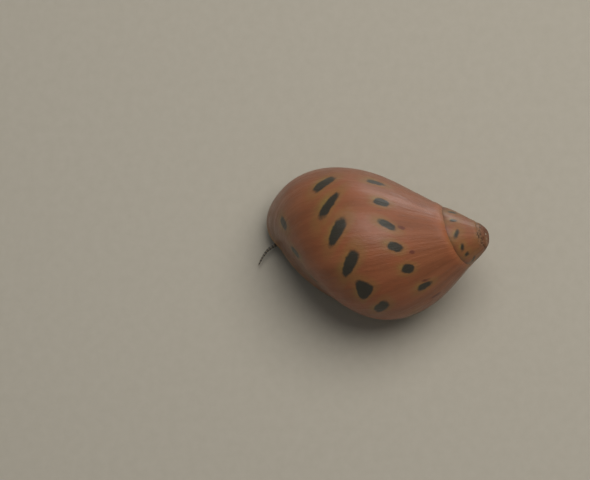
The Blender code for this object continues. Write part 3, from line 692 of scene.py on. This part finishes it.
def deck_edge_offset(x, y):
    """Distance past the deck's straight edge, towards the mouth, and along it."""
    turned = math.radians(DECK_EDGE_TURN)
    off_x, off_y = x - DECK_EDGE[0], y - DECK_EDGE[1]
    across = -off_x * math.cos(turned) - off_y * math.sin(turned)
    along = off_x * math.sin(turned) - off_y * math.cos(turned)
    return across, along


def build_deck(finish, loop):
    """The smooth shelf across the left of the opening, toothed along its straight edge."""
    corner, (x, y, z) = sample_grid(*DECK_BOX, DECK_PITCH)
    plan_x, plan_y = x[:, :, 0], y[:, :, 0]
    rim = loop_distance(plan_x, plan_y, loop) + DECK_INSET
    across, along = deck_edge_offset(plan_x, plan_y)
    teeth = TOOTH_HEIGHT * np.cos(math.pi * along / TOOTH_SPACING) ** 2
    across = across - teeth * ease((TOOTH_ROW - np.abs(along)) * 2)
    plan = within(rim, across, 0.35)[:, :, None]
    inward = np.clip(-plan, 0, 4)
    wrinkles = 0.018 * wobble(plan_x * 0.9 + plan_y * 0.35)[:, :, None]
    bottom = RIM_HEIGHT - 0.05 + 0.12 * np.exp(-inward / 0.5) + wrinkles + 0.05 * ease(inward / 3)
    field = within(within(plan, bottom - z, 0.25), z - DECK_TOP, 0.15)
    points, faces = surface_of(field, corner, DECK_PITCH)
    return mesh_piece("deck", points, faces, finish, ("shell_deck",))


def body_frame(x, y):
    heading = math.radians(HEADING)
    off_x, off_y = x - FOOT_CENTRE[0], y - FOOT_CENTRE[1]
    ahead = -off_x * math.sin(heading) - off_y * math.cos(heading)
    left = off_x * math.cos(heading) - off_y * math.sin(heading)
    return ahead, left


def body_place(ahead, left, up):
    heading = math.radians(HEADING)
    x = FOOT_CENTRE[0] - ahead * math.sin(heading) + left * math.cos(heading)
    y = FOOT_CENTRE[1] - ahead * math.cos(heading) - left * math.sin(heading)
    return np.array((x, y, up))


def ellipsoid(ahead, left, up, middle, half):
    """About the distance to an ellipsoid lying along the heading."""
    parts = ((ahead - middle[0]) / half[0], (left - middle[1]) / half[1], (up - middle[2]) / half[2])
    length = np.sqrt(parts[0] ** 2 + parts[1] ** 2 + parts[2] ** 2)
    slope = np.sqrt((parts[0] / half[0]) ** 2 + (parts[1] / half[1]) ** 2 + (parts[2] / half[2]) ** 2)
    return length * (length - 1) / np.maximum(slope, 1e-6)


def foot_distance(ahead, left, up):
    """The sole: flat below, thin at its frilled edge and thicker within."""
    u = ahead / FOOT_HALF_LENGTH
    v = left / (FOOT_HALF_WIDTH * (1 + FOOT_FRONT_FULLNESS * np.clip(u, -1, 1)))
    share = np.sqrt(u**2 + v**2)
    slope = np.sqrt((u / FOOT_HALF_LENGTH) ** 2 + (v / FOOT_HALF_WIDTH) ** 2)
    around = np.arctan2(v, u)
    frill = 0.06 + 0.05 * wobble(around * 5.5, 0.7)
    edge = share * (share - 1) / np.maximum(slope, 1e-6) + np.maximum(frill, 0)
    inward = np.clip(-edge / FOOT_SLOPE, 0, 1)
    folds = np.sin(around * 46 + 2 * np.sin(around * 7)) * np.exp(-inward * 3.5) * ease(inward * 8)
    top = FOOT_EDGE + FOOT_RISE * np.sqrt(inward) + FOLD_HEIGHT * folds
    return within(within((up - top) * 0.85, edge, 0.12), -up, 0.04)


def head_distance(ahead, left, up):
    """Neck, two-lobed snout, lips and the slit of the mouth."""
    shape = joined(ellipsoid(ahead, left, up, *NECK), ellipsoid(ahead, left, up, *CROWN), 0.4)
    for side in (-1, 1):
        for (middle, half), blend in ((LOBE, 0.28), (LIP, 0.12)):
            paired = (middle[0], side * middle[1], middle[2])
            shape = joined(shape, ellipsoid(ahead, left, up, paired, half), blend)
    creases = np.sin(ahead * 9 + 0.8 * np.sin(left * 3)) * ease((CREASE_END - ahead) / 1.2)
    shape = shape + CREASE_HEIGHT * creases * ease(up)
    return within(shape, -ellipsoid(ahead, left, up, *MOUTH), 0.06)


def smooth_stations(stations, count):
    """Evenly counted points on a smooth curve through the stations."""
    stations = np.array(stations, float)
    ends = np.vstack([2 * stations[0] - stations[1], stations, 2 * stations[-1] - stations[-2]])
    line = []
    for place in np.linspace(0, len(stations) - 1, count):
        part = min(int(place), len(stations) - 2)
        t = place - part
        p0, p1, p2, p3 = ends[part : part + 4]
        curve = 2 * p1 + (p2 - p0) * t + (2 * p0 - 5 * p1 + 4 * p2 - p3) * t**2
        line.append(0.5 * (curve + (3 * p1 - 3 * p2 + p3 - p0) * t**3))
    return np.array(line)


def cone_chain(ahead, left, up, line, radii):
    """Distance to a chain of round cones, and the length along it of the nearest spot."""
    best = np.full(ahead.shape, 1e9)
    place = np.zeros(ahead.shape)
    walked = 0.0
    for start, end, near, far in zip(line, line[1:], radii, radii[1:]):
        span = end - start
        length = span @ span
        offset = (ahead - start[0], left - start[1], up - start[2])
        share = np.clip(sum(part * step for part, step in zip(offset, span)) / length, 0, 1)
        gap = sum((part - share * step) ** 2 for part, step in zip(offset, span))
        distance = np.sqrt(gap) - (near + (far - near) * share)
        closer = distance < best
        best = np.where(closer, distance, best)
        place = np.where(closer, walked + share * math.sqrt(length), place)
        walked += math.sqrt(length)
    return best, place


def feeler_line(stations):
    line = smooth_stations(stations, 25)
    return line, np.interp(np.linspace(0, 1, len(line)), (0, 0.5, 1), FEELER_RADII)


def eye_stalk_line(side):
    root = np.array((EYE_ROOT[0], side * EYE_ROOT[1], EYE_ROOT[2]))
    outward = unit((0.0, side, EYE_LIFT))
    line = np.array([root - 0.5 * outward, root, root + outward * (EYE_STALK_LENGTH + EYE_SINK)])
    return line, np.array((0.42, EYE_STALK_RADIUS, 0.28))


def limbs(ahead, left, up, shape):
    """The shape with feelers and eye stalks joined on."""
    for stations in (LEFT_FEELER, RIGHT_FEELER):
        feeler, place = cone_chain(ahead, left, up, *feeler_line(stations))
        ringed = feeler - 0.006 * np.sin(place * math.tau / RING_SPACING)
        shape = joined(shape, ringed, 0.10)
    for side in (-1, 1):
        shape = joined(shape, cone_chain(ahead, left, up, *eye_stalk_line(side))[0], 0.16)
    return shape


def stalk_distance(x, y, ahead, up, rim):
    """The body between the foot and the shell."""
    across, _ = deck_edge_offset(x, y)
    plan = rim + STALK_INSET
    for limit in (STALK_DECK_GAP - across, ahead - STALK_FRONT, STALK_BACK - ahead):
        plan = within(plan, limit, 0.5)
    waist = 0.55 * bell(up - 1.5, 0.6)
    plan = plan + waist + 0.04 * np.sin(up * 9 + np.sin(ahead * 1.7))
    return within(within(plan, up - STALK_TOP, 0.3), 0.4 - up, 0.2)


def mantle_distance(x, y, up, rim):
    """The mantle's rolled edge along the outer lip."""
    angle = np.degrees(np.arctan2(y - MOUTH_CENTRE[1], x - MOUTH_CENTRE[0])) % 360
    beyond = np.maximum(MANTLE_SPAN[0] - angle, angle - MANTLE_SPAN[1]) * math.radians(1) * 6
    roll = 0.05 * wobble(angle / 9.0, 1.2)
    aside = np.maximum(np.abs(rim + MANTLE_INSET) - MANTLE_HALF_WIDTH + MANTLE_CORNER, 0)
    middle = (MANTLE_BOTTOM + MANTLE_TOP) / 2
    above = np.maximum(np.abs(up - middle - roll) - (MANTLE_TOP - MANTLE_BOTTOM) / 2 + 0.36, 0)
    rounded = np.sqrt(aside**2 + above**2 + np.maximum(beyond, 0) ** 2)
    return np.maximum(rounded, beyond) - MANTLE_CORNER


def build_flesh(finish, loop):
    """One skin over the whole soft body."""
    corner, (x, y, z) = sample_grid(*FLESH_BOX, FLESH_PITCH)
    ahead, left = body_frame(x, y)
    rim = loop_distance(x[:, :, 0], y[:, :, 0], loop)[:, :, None]
    shape = foot_distance(ahead, left, z)
    shape = joined(shape, stalk_distance(x, y, ahead, z, rim), 0.35)
    shape = joined(shape, head_distance(ahead, left, z), 0.3)
    front = ahead > LIMB_START
    shape[front] = limbs(*(part[front] for part in (ahead, left, z, shape)))
    shape = joined(shape, mantle_distance(x, y, z, rim), 0.1)
    shape = np.maximum(shape, -z)
    points, faces = surface_of(shape, corner, FLESH_PITCH)
    x, y, up = points.T
    ahead, left = body_frame(x, y)
    feeler = np.full(len(points), FAR_AWAY)
    length = np.zeros(len(points))
    for stations in (LEFT_FEELER, RIGHT_FEELER):
        distance, place = cone_chain(ahead, left, up, *feeler_line(stations))
        length = np.where(distance < feeler, place, length)
        feeler = np.minimum(feeler, distance)
    mantle = mantle_distance(x, y, up, loop_distance(x, y, loop))
    values = {
        "sole": 1 - ease(up / 0.12),
        "feeler": 1 - ease((feeler - 0.02) / 0.2),
        "length": length,
        "mantle": 1 - ease(mantle / 0.2),
    }
    replaced = ["body_stalk", "foot", "tail", "head", "eye_stalk_left", "eye_stalk_right"]
    replaced += [f"tentacle_{end}" for end in ("left_base", "left_tip", "right_base", "right_tip")]
    replaced += ["mantle_edge_rear", "mantle_edge_side", "mantle_edge_front"]
    return mesh_piece("flesh", points, faces, finish, replaced, values)


def ring_angles(steps, around):
    """For each point of stacked rings, the ring's own step and the angle round it."""
    return np.meshgrid(steps, np.linspace(0, math.tau, around, endpoint=False), indexing="ij")


def ring_faces(rings, around):
    """Numbers of the points of stacked rings, and the faces between neighbouring rings."""
    grid = np.arange(rings * around).reshape(rings, around)
    after = np.roll(grid, -1, axis=1)
    return grid, np.stack([grid[:-1], grid[1:], after[1:], after[:-1]], axis=-1).reshape(-1, 4)


def build_eye(name, side, finish):
    """A small domed eye, slightly flattened, sunk in the end of its stalk."""
    root = body_place(EYE_ROOT[0], side * EYE_ROOT[1], EYE_ROOT[2])
    outward = unit(body_place(0, side, EYE_LIFT) - body_place(0, 0, 0))
    middle = root + outward * (EYE_STALK_LENGTH + EYE_GAP + EYE_FLATNESS * EYE_RADIUS)
    first = unit(np.cross(outward, (0, 0, 1)))
    second = np.cross(outward, first)
    slope, turned = ring_angles(np.linspace(EYE_END, math.pi - EYE_END, 33), 48)
    radius = EYE_RADIUS * (1 + 0.012 * np.sin(3 * turned) * np.sin(slope))
    flat = (radius * np.sin(slope))[..., None]
    points = middle + flat * (np.cos(turned)[..., None] * first + np.sin(turned)[..., None] * second)
    points = points - (EYE_FLATNESS * radius * np.cos(slope))[..., None] * outward
    grid, between = ring_faces(*slope.shape)
    faces = between.tolist() + [grid[0].tolist(), grid[-1, ::-1].tolist()]
    values = {"facing": -np.cos(slope)}
    return mesh_piece(name, points.reshape(-1, 3), faces, finish, (name,), values)


def build_tip(finish):
    """The uneven, worn dome at the coil's tip."""
    slope, turned = ring_angles(np.linspace(0, math.pi / 2, 40), 120)
    base = TIP - TIP_BASE * AXIS
    uneven = 1 + 0.05 * np.sin(3 * turned) + 0.03 * np.cos(5 * turned + 1)
    outward = np.cos(turned)[..., None] * UPWARD + np.sin(turned)[..., None] * RIGHTWARD
    whorl = turned + 1.35 * np.log(np.maximum(np.cos(slope), 0.03))
    ridge = 0.030 * np.cos(whorl) * np.sin(2 * slope) + 0.012 * wobble(turned * 3.2, 2.0) * np.cos(slope)
    pits = 0.020 * np.minimum(wobble(turned * 2.1 + slope * 3.0, 4.0) * wobble(slope * 4.0, 1.0), 0.3)
    height = (TIP_HEIGHT * np.sin(slope) + ridge + pits)[..., None] * AXIS
    points = base + (TIP_RADIUS * uneven * np.cos(slope))[..., None] * outward + height
    grid, between = ring_faces(len(slope) - 1, slope.shape[1])
    points = np.vstack([points[:-1].reshape(-1, 3), (base + TIP_HEIGHT * AXIS)[None]])
    faces = between[:, [0, 3, 2, 1]].tolist()
    faces += [[here, beside, grid.size] for here, beside in zip(grid[-1], np.roll(grid[-1], -1))]
    faces.append(grid[0, ::-1].tolist())
    white = base + WHITE_SPOT_OUT * UPWARD + WHITE_SPOT_UP * AXIS
    values = {"white": bell(np.linalg.norm(points - white, axis=1), WHITE_SPOT_SIZE)}
    return mesh_piece("tip", points, faces, finish, ("shell_apex",), values)


def build_lid(finish):
    """The half-moon lid on the back of the foot, with fine lines of growth."""
    shares = np.concatenate([np.linspace(0.01, 0.94, 84), np.linspace(0.95, 1.0, 8)])
    share, turned = ring_angles(shares, 240)
    middle = LID_FRONT - LID_MIDDLE_SETBACK
    length = np.where(np.cos(turned) > 0, LID_MIDDLE_SETBACK, middle - LID_BACK)
    left = LID_HALF_WIDTH * np.sign(np.sin(turned)) * np.abs(np.sin(turned)) ** 0.8
    ahead = length * np.cos(turned)
    # The rings crowd towards the left end, where growth began
    shift = 1 - share**1.2
    place_ahead = middle + ahead * share + LID_GROWTH_START[0] * shift
    place_left = left * share + LID_GROWTH_START[1] * shift
    lines = np.sin(share * math.tau * LID_LINES + 0.8 * np.sin(turned * 3))
    lines = LID_LINE_HEIGHT * lines + 0.012 * wobble(share * 5)
    dome = LID_TOP - 0.24 * share**2 - 0.22 * ease((share - 0.88) / 0.12) ** 2
    top = dome + lines * ease((1 - share) * 10)
    bottom = np.full_like(top, LID_BOTTOM) + 0.05 * ease((share - 0.9) / 0.1)
    layers = [body_place(place_ahead, place_left, height).reshape(3, -1).T for height in (top, bottom)]
    grid, upper = ring_faces(*share.shape)
    faces = upper.tolist() + (upper[:, ::-1] + grid.size).tolist()
    edge, beside = grid[-1], np.roll(grid[-1], -1)
    faces += np.stack([edge, edge + grid.size, beside + grid.size, beside], axis=-1).tolist()
    faces += [grid[0, ::-1].tolist(), (grid[0] + grid.size).tolist()]
    points = np.concatenate(layers)
    values = {"share": np.tile(share.ravel(), 2)}
    return mesh_piece("lid", points, faces, finish, ("operculum",), values)


# Materials. Paints are display colours from 0 to 255, and noise scales count per metre where the
# place is the object's own, or per unit of growth on the shell's streaks.

SHELL_GROUND = ((128, 75, 45), (152, 91, 57))
SHELL_CLOUD = (156, 85, 51)
DARK_LINE = (92, 52, 33)
# Painted glint: pale streaks along the growth lines
GLINT_STREAK = (180, 120, 82)
# Darker towards the base: partly the shell's darker pigment there, partly painted shade
BASE_PIGMENT_AND_SHADE = (84, 66, 44)
# Painted light: a lighter band on the last whorl's convex collar beside the suture
COLLAR_LIGHT = (172, 102, 62)
# Painted shade beside the suture and painted shadow in its crease
STEP_SHADE = (74, 42, 31)
STEP_CREASE_SHADOW = (46, 22, 18)
HALO = (136, 112, 58)
RED_DOT = (96, 44, 32)
DASH = (45, 45, 37)
WORN_SPECKS = ((150, 112, 82), (58, 42, 32))
LIP_YELLOW = (172, 128, 66)
HOLLOW_CREAM = (196, 168, 118)
FLESH_GROUND = ((74, 69, 64), (124, 115, 102))
FLESH_SPECKLE = (158, 146, 124)
FLESH_PORE = (36, 34, 33)
FEELER_RINGS = ((138, 128, 110), (46, 43, 40))
MANTLE_GROUND = ((44, 41, 38), (132, 106, 72))
SOLE_GROUND = ((128, 119, 103), (164, 152, 130))
DECK_GROUND = ((214, 188, 132), (232, 218, 186))
DECK_STAIN = (176, 128, 78)
TIP_GROUND = ((112, 68, 46), (142, 98, 68))
TIP_PIT = (52, 38, 30)
TIP_WHITE = (206, 194, 172)
TIP_FLECK = (196, 180, 152)
LID_GROUND = ((66, 60, 58), (112, 94, 78))
LID_LINE = (44, 38, 36)
LID_RIM = (132, 70, 40)
EYE_RING = ((60, 52, 44), (96, 84, 68))
EYE_BLACK = (8, 8, 9)
FLOOR_GROUND = ((184, 177, 162), (194, 187, 173))


def new_material(name):
    """A material, its shader and the object's own coordinates."""
    made = bpy.data.materials.new(name)
    made.use_nodes = True
    shader = made.node_tree.nodes["Principled BSDF"]
    return made, shader, node(shader, "TexCoord").outputs["Object"]


def linear_light(paint):
    shares = [value / 255 for value in paint]
    return (*(v / 12.92 if v <= 0.04045 else ((v + 0.055) / 1.055) ** 2.4 for v in shares), 1.0)


def node(near, kind, inputs=None, **settings):
    """A node in the tree of another node or socket, with its inputs set or linked."""
    tree = near.id_data
    made = tree.nodes.new("ShaderNode" + kind)
    for label, value in settings.items():
        setattr(made, label, value)
    for label, value in (inputs or {}).items():
        if isinstance(value, bpy.types.NodeSocket):
            tree.links.new(value, made.inputs[label])
        else:
            made.inputs[label].default_value = linear_light(value) if isinstance(value, tuple) else value
    return made


def read(near, name):
    return node(near, "Attribute", attribute_name=name).outputs["Fac"]


def calculate(operation, first, second=0.0, third=0.0):
    return node(first, "Math", {0: first, 1: second, 2: third}, operation=operation).outputs[0]


def spread(value, low, high, to_low=0.0, to_high=1.0):
    """The value, moved from one range smoothly into another."""
    inputs = {"Value": value, "From Min": low, "From Max": high, "To Min": to_low, "To Max": to_high}
    return node(value, "MapRange", inputs, interpolation_type="SMOOTHSTEP").outputs["Result"]


def noise(place, scale, detail=3.0, roughness=0.55):
    inputs = {"Vector": place, "Scale": scale, "Detail": detail, "Roughness": roughness}
    return node(place, "TexNoise", inputs).outputs["Fac"]


def mix(share, first, second):
    """A mix of two paints or colour outputs; inputs 0, 6 and 7 and output 2 are those of colours."""
    return node(share, "Mix", {0: share, 6: first, 7: second}, data_type="RGBA").outputs[2]


def painted(ground, paint, share, strength):
    """The ground with paint over it, by a share of the strength."""
    return mix(calculate("MULTIPLY", share, strength), ground, paint)


def brushed(ground, paint, value, low, high, strength):
    """The ground with paint over it where the value passes smoothly from low to high."""
    return mix(spread(value, low, high, 0.0, strength), ground, paint)


def bump(height, millimetres, strength, base=None):
    inputs = {"Height": height, "Distance": millimetres * MM, "Strength": strength}
    if base is not None:
        inputs["Normal"] = base
    return node(height, "Bump", inputs).outputs["Normal"]


def link_shader(shader, outputs):
    for label, output in outputs.items():
        shader.id_data.links.new(output, shader.inputs[label])


def finish_shader(shader, ground, roughness, normal, coat, coat_roughness):
    """Link the colour, roughness and normal, and set the wet or glazed coat."""
    link_shader(shader, {"Base Color": ground, "Roughness": roughness, "Normal": normal})
    shader.inputs["Coat Weight"].default_value = coat
    shader.inputs["Coat Roughness"].default_value = coat_roughness


def streak_place(spot, across_share):
    """Places on the shell that stretch noise along its lines of growth."""
    across = calculate("MULTIPLY", read(spot, "across"), across_share)
    return node(spot, "CombineXYZ", {0: read(spot, "growth"), 1: across}).outputs[0]


def shell_material():
    made, shader, spot = new_material("shell")
    streaks = noise(streak_place(spot, 0.07), 0.55, 4.0)
    fine = noise(streak_place(spot, 0.22), 3.6, 3.0, 0.65)
    ground = mix(spread(streaks, 0.30, 0.72), *SHELL_GROUND)
    ground = brushed(ground, SHELL_CLOUD, noise(spot, 230.0), 0.38, 0.70, 0.50)
    ground = brushed(ground, DARK_LINE, fine, 0.55, 0.80, 0.30)
    # Painted glint in pale streaks along the growth lines
    ground = brushed(ground, GLINT_STREAK, fine, 0.44, 0.20, 0.25)
    # Darker towards the base: partly the shell's darker pigment, partly painted shade
    ground = brushed(ground, BASE_PIGMENT_AND_SHADE, read(spot, "angle"), 1.05, 2.1, 0.42)
    # Painted light on the last whorl's collar beside the suture
    ground = painted(ground, COLLAR_LIGHT, read(spot, "collar"), 0.45)
    # Painted shade beside the suture and painted shadow in its crease
    ground = painted(ground, STEP_SHADE, read(spot, "shade"), 0.70)
    ground = painted(ground, STEP_CREASE_SHADOW, read(spot, "crease_shadow"), 0.90)
    beside = spread(read(spot, "mark"), 0.10, 0.75, 0.42, 0.0)
    halo = calculate("MAXIMUM", read(spot, "halo"), beside)
    uneven = spread(noise(spot, 900.0), 0.25, 0.6, 0.50, 1.0)
    ground = painted(ground, HALO, calculate("MULTIPLY", halo, uneven), 0.90)
    edge = calculate("MULTIPLY_ADD", noise(spot, 1700.0, 2.0), 0.26, -0.13)
    for label, inner, paint, strength in (("dot", -0.08, RED_DOT, 0.80), ("mark", -0.10, DASH, 0.96)):
        distance = calculate("ADD", read(spot, label), edge)
        ground = painted(ground, paint, spread(distance, inner, 0.12, 1.0, 0.0), strength)
    worn_edge = calculate("MULTIPLY_ADD", noise(spot, 1500.0, 4.0), 1.3, -0.65)
    worn = spread(calculate("ADD", read(spot, "depth"), worn_edge), 2.0, 2.4, 1.0, 0.0)
    specks = mix(spread(noise(spot, 3600.0, 4.0), 0.42, 0.62), *WORN_SPECKS)
    ground = painted(ground, specks, worn, 0.8)
    ground = painted(ground, LIP_YELLOW, read(spot, "lip"), 0.70)
    ground = mix(read(spot, "inside"), ground, HOLLOW_CREAM)
    wet = spread(noise(spot, 700.0), 0.3, 0.7, 0.38, 0.52)
    roughness = calculate("MULTIPLY_ADD", worn, 0.25, wet)
    normal = bump(noise(spot, 2600.0, 4.0), 0.02, 0.5, bump(fine, 0.06, 0.8))
    finish_shader(shader, ground, roughness, normal, 0.22, 0.28)
    return made


def flesh_material():
    made, shader, spot = new_material("flesh")
    cells = node(spot, "TexVoronoi", {"Vector": spot, "Scale": 2600.0}, feature="F1").outputs["Distance"]
    blotches = noise(spot, 900.0, 4.0, 0.6)
    speckles = noise(spot, 5200.0, 3.0, 0.6)
    ground = mix(spread(blotches, 0.35, 0.65), *FLESH_GROUND)
    ground = brushed(ground, FLESH_SPECKLE, speckles, 0.54, 0.68, 0.70)
    ground = brushed(ground, FLESH_PORE, cells, 0.34, 0.66, 0.50)
    ring_place = calculate("MULTIPLY", read(spot, "length"), math.tau / RING_SPACING)
    ringed = mix(spread(calculate("SINE", ring_place), -0.2, 0.7), *FEELER_RINGS)
    ground = painted(ground, ringed, read(spot, "feeler"), 0.8)
    mantle = mix(spread(blotches, 0.42, 0.6), *MANTLE_GROUND)
    ground = mix(read(spot, "mantle"), ground, mantle)
    sole = mix(spread(blotches, 0.3, 0.7), *SOLE_GROUND)
    ground = mix(read(spot, "sole"), ground, sole)
    shader.inputs["Subsurface Weight"].default_value = 0.08
    shader.inputs["Subsurface Radius"].default_value = (0.0009, 0.0006, 0.0004)
    normal = bump(speckles, 0.03, 0.4, bump(cells, 0.05, 0.55))
    finish_shader(shader, ground, spread(speckles, 0.3, 0.7, 0.30, 0.46), normal, 0.3, 0.2)
    return made


def deck_material():
    made, shader, spot = new_material("deck")
    fine = noise(spot, 2200.0, 4.0)
    ground = mix(spread(noise(spot, 300.0, 4.0), 0.35, 0.65), *DECK_GROUND)
    ground = brushed(ground, DECK_STAIN, fine, 0.6, 0.75, 0.3)
    finish_shader(shader, ground, spread(fine, 0.3, 0.7, 0.20, 0.36), bump(fine, 0.03, 0.3), 0.3, 0.1)
    return made


def tip_material():
    made, shader, spot = new_material("tip")
    coarse = noise(spot, 1300.0, 4.0, 0.6)
    fine = noise(spot, 5200.0, 4.0, 0.65)
    ground = mix(spread(coarse, 0.38, 0.62), *TIP_GROUND)
    ground = brushed(ground, TIP_PIT, fine, 0.52, 0.66, 0.75)
    chalk = calculate("ADD", read(spot, "white"), calculate("MULTIPLY_ADD", fine, 1.6, -0.8))
    ground = brushed(ground, TIP_WHITE, chalk, 0.45, 0.80, 0.85)
    ground = brushed(ground, TIP_FLECK, coarse, 0.60, 0.68, 0.7)
    roughness = spread(fine, 0.3, 0.7, 0.5, 0.8)
    normal = bump(fine, 0.05, 0.8, bump(coarse, 0.10, 0.7))
    link_shader(shader, {"Base Color": ground, "Roughness": roughness, "Normal": normal})
    return made


def lid_material():
    made, shader, spot = new_material("lid")
    share = read(spot, "share")
    bands = calculate("SINE", calculate("MULTIPLY", share, LID_BAND_RATE))
    fine = noise(spot, 4200.0, 4.0)
    ground = mix(spread(noise(spot, 600.0, 4.0), 0.35, 0.65), *LID_GROUND)
    ground = brushed(ground, LID_LINE, bands, 0.1, 0.9, 0.45)
    ground = brushed(ground, LID_RIM, share, 0.86, 0.99, 0.75)
    normal = bump(fine, 0.02, 0.5, bump(bands, 0.012, 0.6))
    finish_shader(shader, ground, spread(fine, 0.3, 0.7, 0.28, 0.48), normal, 0.25, 0.2)
    return made


def eye_material():
    made, shader, spot = new_material("eye")
    fine = noise(spot, 6000.0)
    ring = mix(spread(fine, 0.35, 0.65), *EYE_RING)
    ground = brushed(ring, EYE_BLACK, read(spot, "facing"), 0.05, 0.35, 1.0)
    finish_shader(shader, ground, spread(fine, 0.3, 0.7, 0.06, 0.14), bump(fine, 0.004, 0.3), 0.6, 0.04)
    return made


# Floor, light and camera


FLOOR_HALF_SIZE = 1.2

CAMERA_AZIMUTH = 90.0
CAMERA_ELEVATION = 70.0
CAMERA_LENS = 300.0
SENSOR_WIDTH = 36.0
PHOTO_WIDTH = 590
PIXELS_PER_MM = 8.84
VIEW_RIGHT_OF_TIP = -23.27
VIEW_ABOVE_TIP = -0.747

# The main light, and lights seen only as soft reflections: name, direction, distance, sizes, watts
# and tint
KEY = ("key", (-0.26, 0.26, 0.93), 300, (300, 300), 0.70, (1.0, 0.98, 0.94))
SHEEN_TINT = (1.0, 0.99, 0.97)
SHEENS = (
    ("sheen", (-0.34, 0.12, 0.93), 320, (220, 220), 0.28, SHEEN_TINT),
    ("window", (-1.0, 0.36, 0.08), 320, (190, 80), 0.22, SHEEN_TINT),
)
LIT_HEIGHT = 6
ROOM_COLOUR = (0.78, 0.80, 0.82, 1.0)
ROOM_STRENGTH = 0.17


def floor_material():
    made, shader, spot = new_material("floor")
    grain = noise(spot, 900.0, 4.0)
    shader.inputs["Roughness"].default_value = 0.75
    link_shader(shader, {"Base Color": mix(grain, *FLOOR_GROUND), "Normal": bump(grain, 0.02, 0.4)})
    return made


def add_floor(finish):
    """A wide pale floor that isn't part of the snail."""
    mesh = bpy.data.meshes.new("floor")
    corners = ((-1, -1), (1, -1), (1, 1), (-1, 1))
    points = [(x * FLOOR_HALF_SIZE, y * FLOOR_HALF_SIZE, 0) for x, y in corners]
    mesh.from_pydata(points, [], [(0, 1, 2, 3)])
    mesh.materials.append(finish)
    placed("floor", mesh)


def add_camera():
    """A camera that sees the photograph's width of the snail's plane, placed from the coil's tip."""
    azimuth = math.radians(CAMERA_AZIMUTH)
    elevation = math.radians(CAMERA_ELEVATION)
    level = Vector((math.sin(azimuth), -math.cos(azimuth), 0)) * math.cos(elevation)
    back = level + Vector((0, 0, math.sin(elevation)))
    right = Vector((math.cos(azimuth), math.sin(azimuth), 0))
    up = back.cross(right)
    target = Vector(TIP) + right * VIEW_RIGHT_OF_TIP + up * VIEW_ABOVE_TIP
    distance = PHOTO_WIDTH / PIXELS_PER_MM * CAMERA_LENS / SENSOR_WIDTH
    data = bpy.data.cameras.new("camera")
    data.lens = CAMERA_LENS
    data.sensor_width = SENSOR_WIDTH
    camera = placed("camera", data)
    turned = Matrix((right, up, back)).transposed().to_4x4()
    camera.matrix_world = Matrix.Translation((target + back * distance) * MM) @ turned
    bpy.context.scene.camera = camera


def add_light(name, direction, distance, size, watts, tint):
    """A round soft light that faces the shell's middle."""
    data = bpy.data.lights.new(name, "AREA")
    data.shape = "ELLIPSE"
    data.size = size[0] * MM
    data.size_y = size[1] * MM
    data.energy = watts
    data.color = tint
    made = placed(name, data)
    away = Vector(direction).normalized()
    made.location = (Vector((0, 0, LIT_HEIGHT)) + away * distance) * MM
    made.rotation_mode = "QUATERNION"
    made.rotation_quaternion = away.to_track_quat("Z", "Y")
    return made


def add_lights():
    add_light(*KEY).visible_glossy = False
    for sheen in SHEENS:
        add_light(*sheen).visible_diffuse = False
    world = bpy.data.worlds.new("room")
    world.use_nodes = True
    background = world.node_tree.nodes["Background"]
    background.inputs["Color"].default_value = ROOM_COLOUR
    background.inputs["Strength"].default_value = ROOM_STRENGTH
    bpy.context.scene.world = world
    bpy.context.scene.view_settings.view_transform = "Standard"


def main():
    loop = rim_loop()
    build_shell(shell_material())
    build_tip(tip_material())
    build_deck(deck_material(), loop)
    build_flesh(flesh_material(), loop)
    build_lid(lid_material())
    eye_finish = eye_material()
    build_eye("eye_left", 1, eye_finish)
    build_eye("eye_right", -1, eye_finish)
    add_floor(floor_material())
    add_lights()
    add_camera()


main()
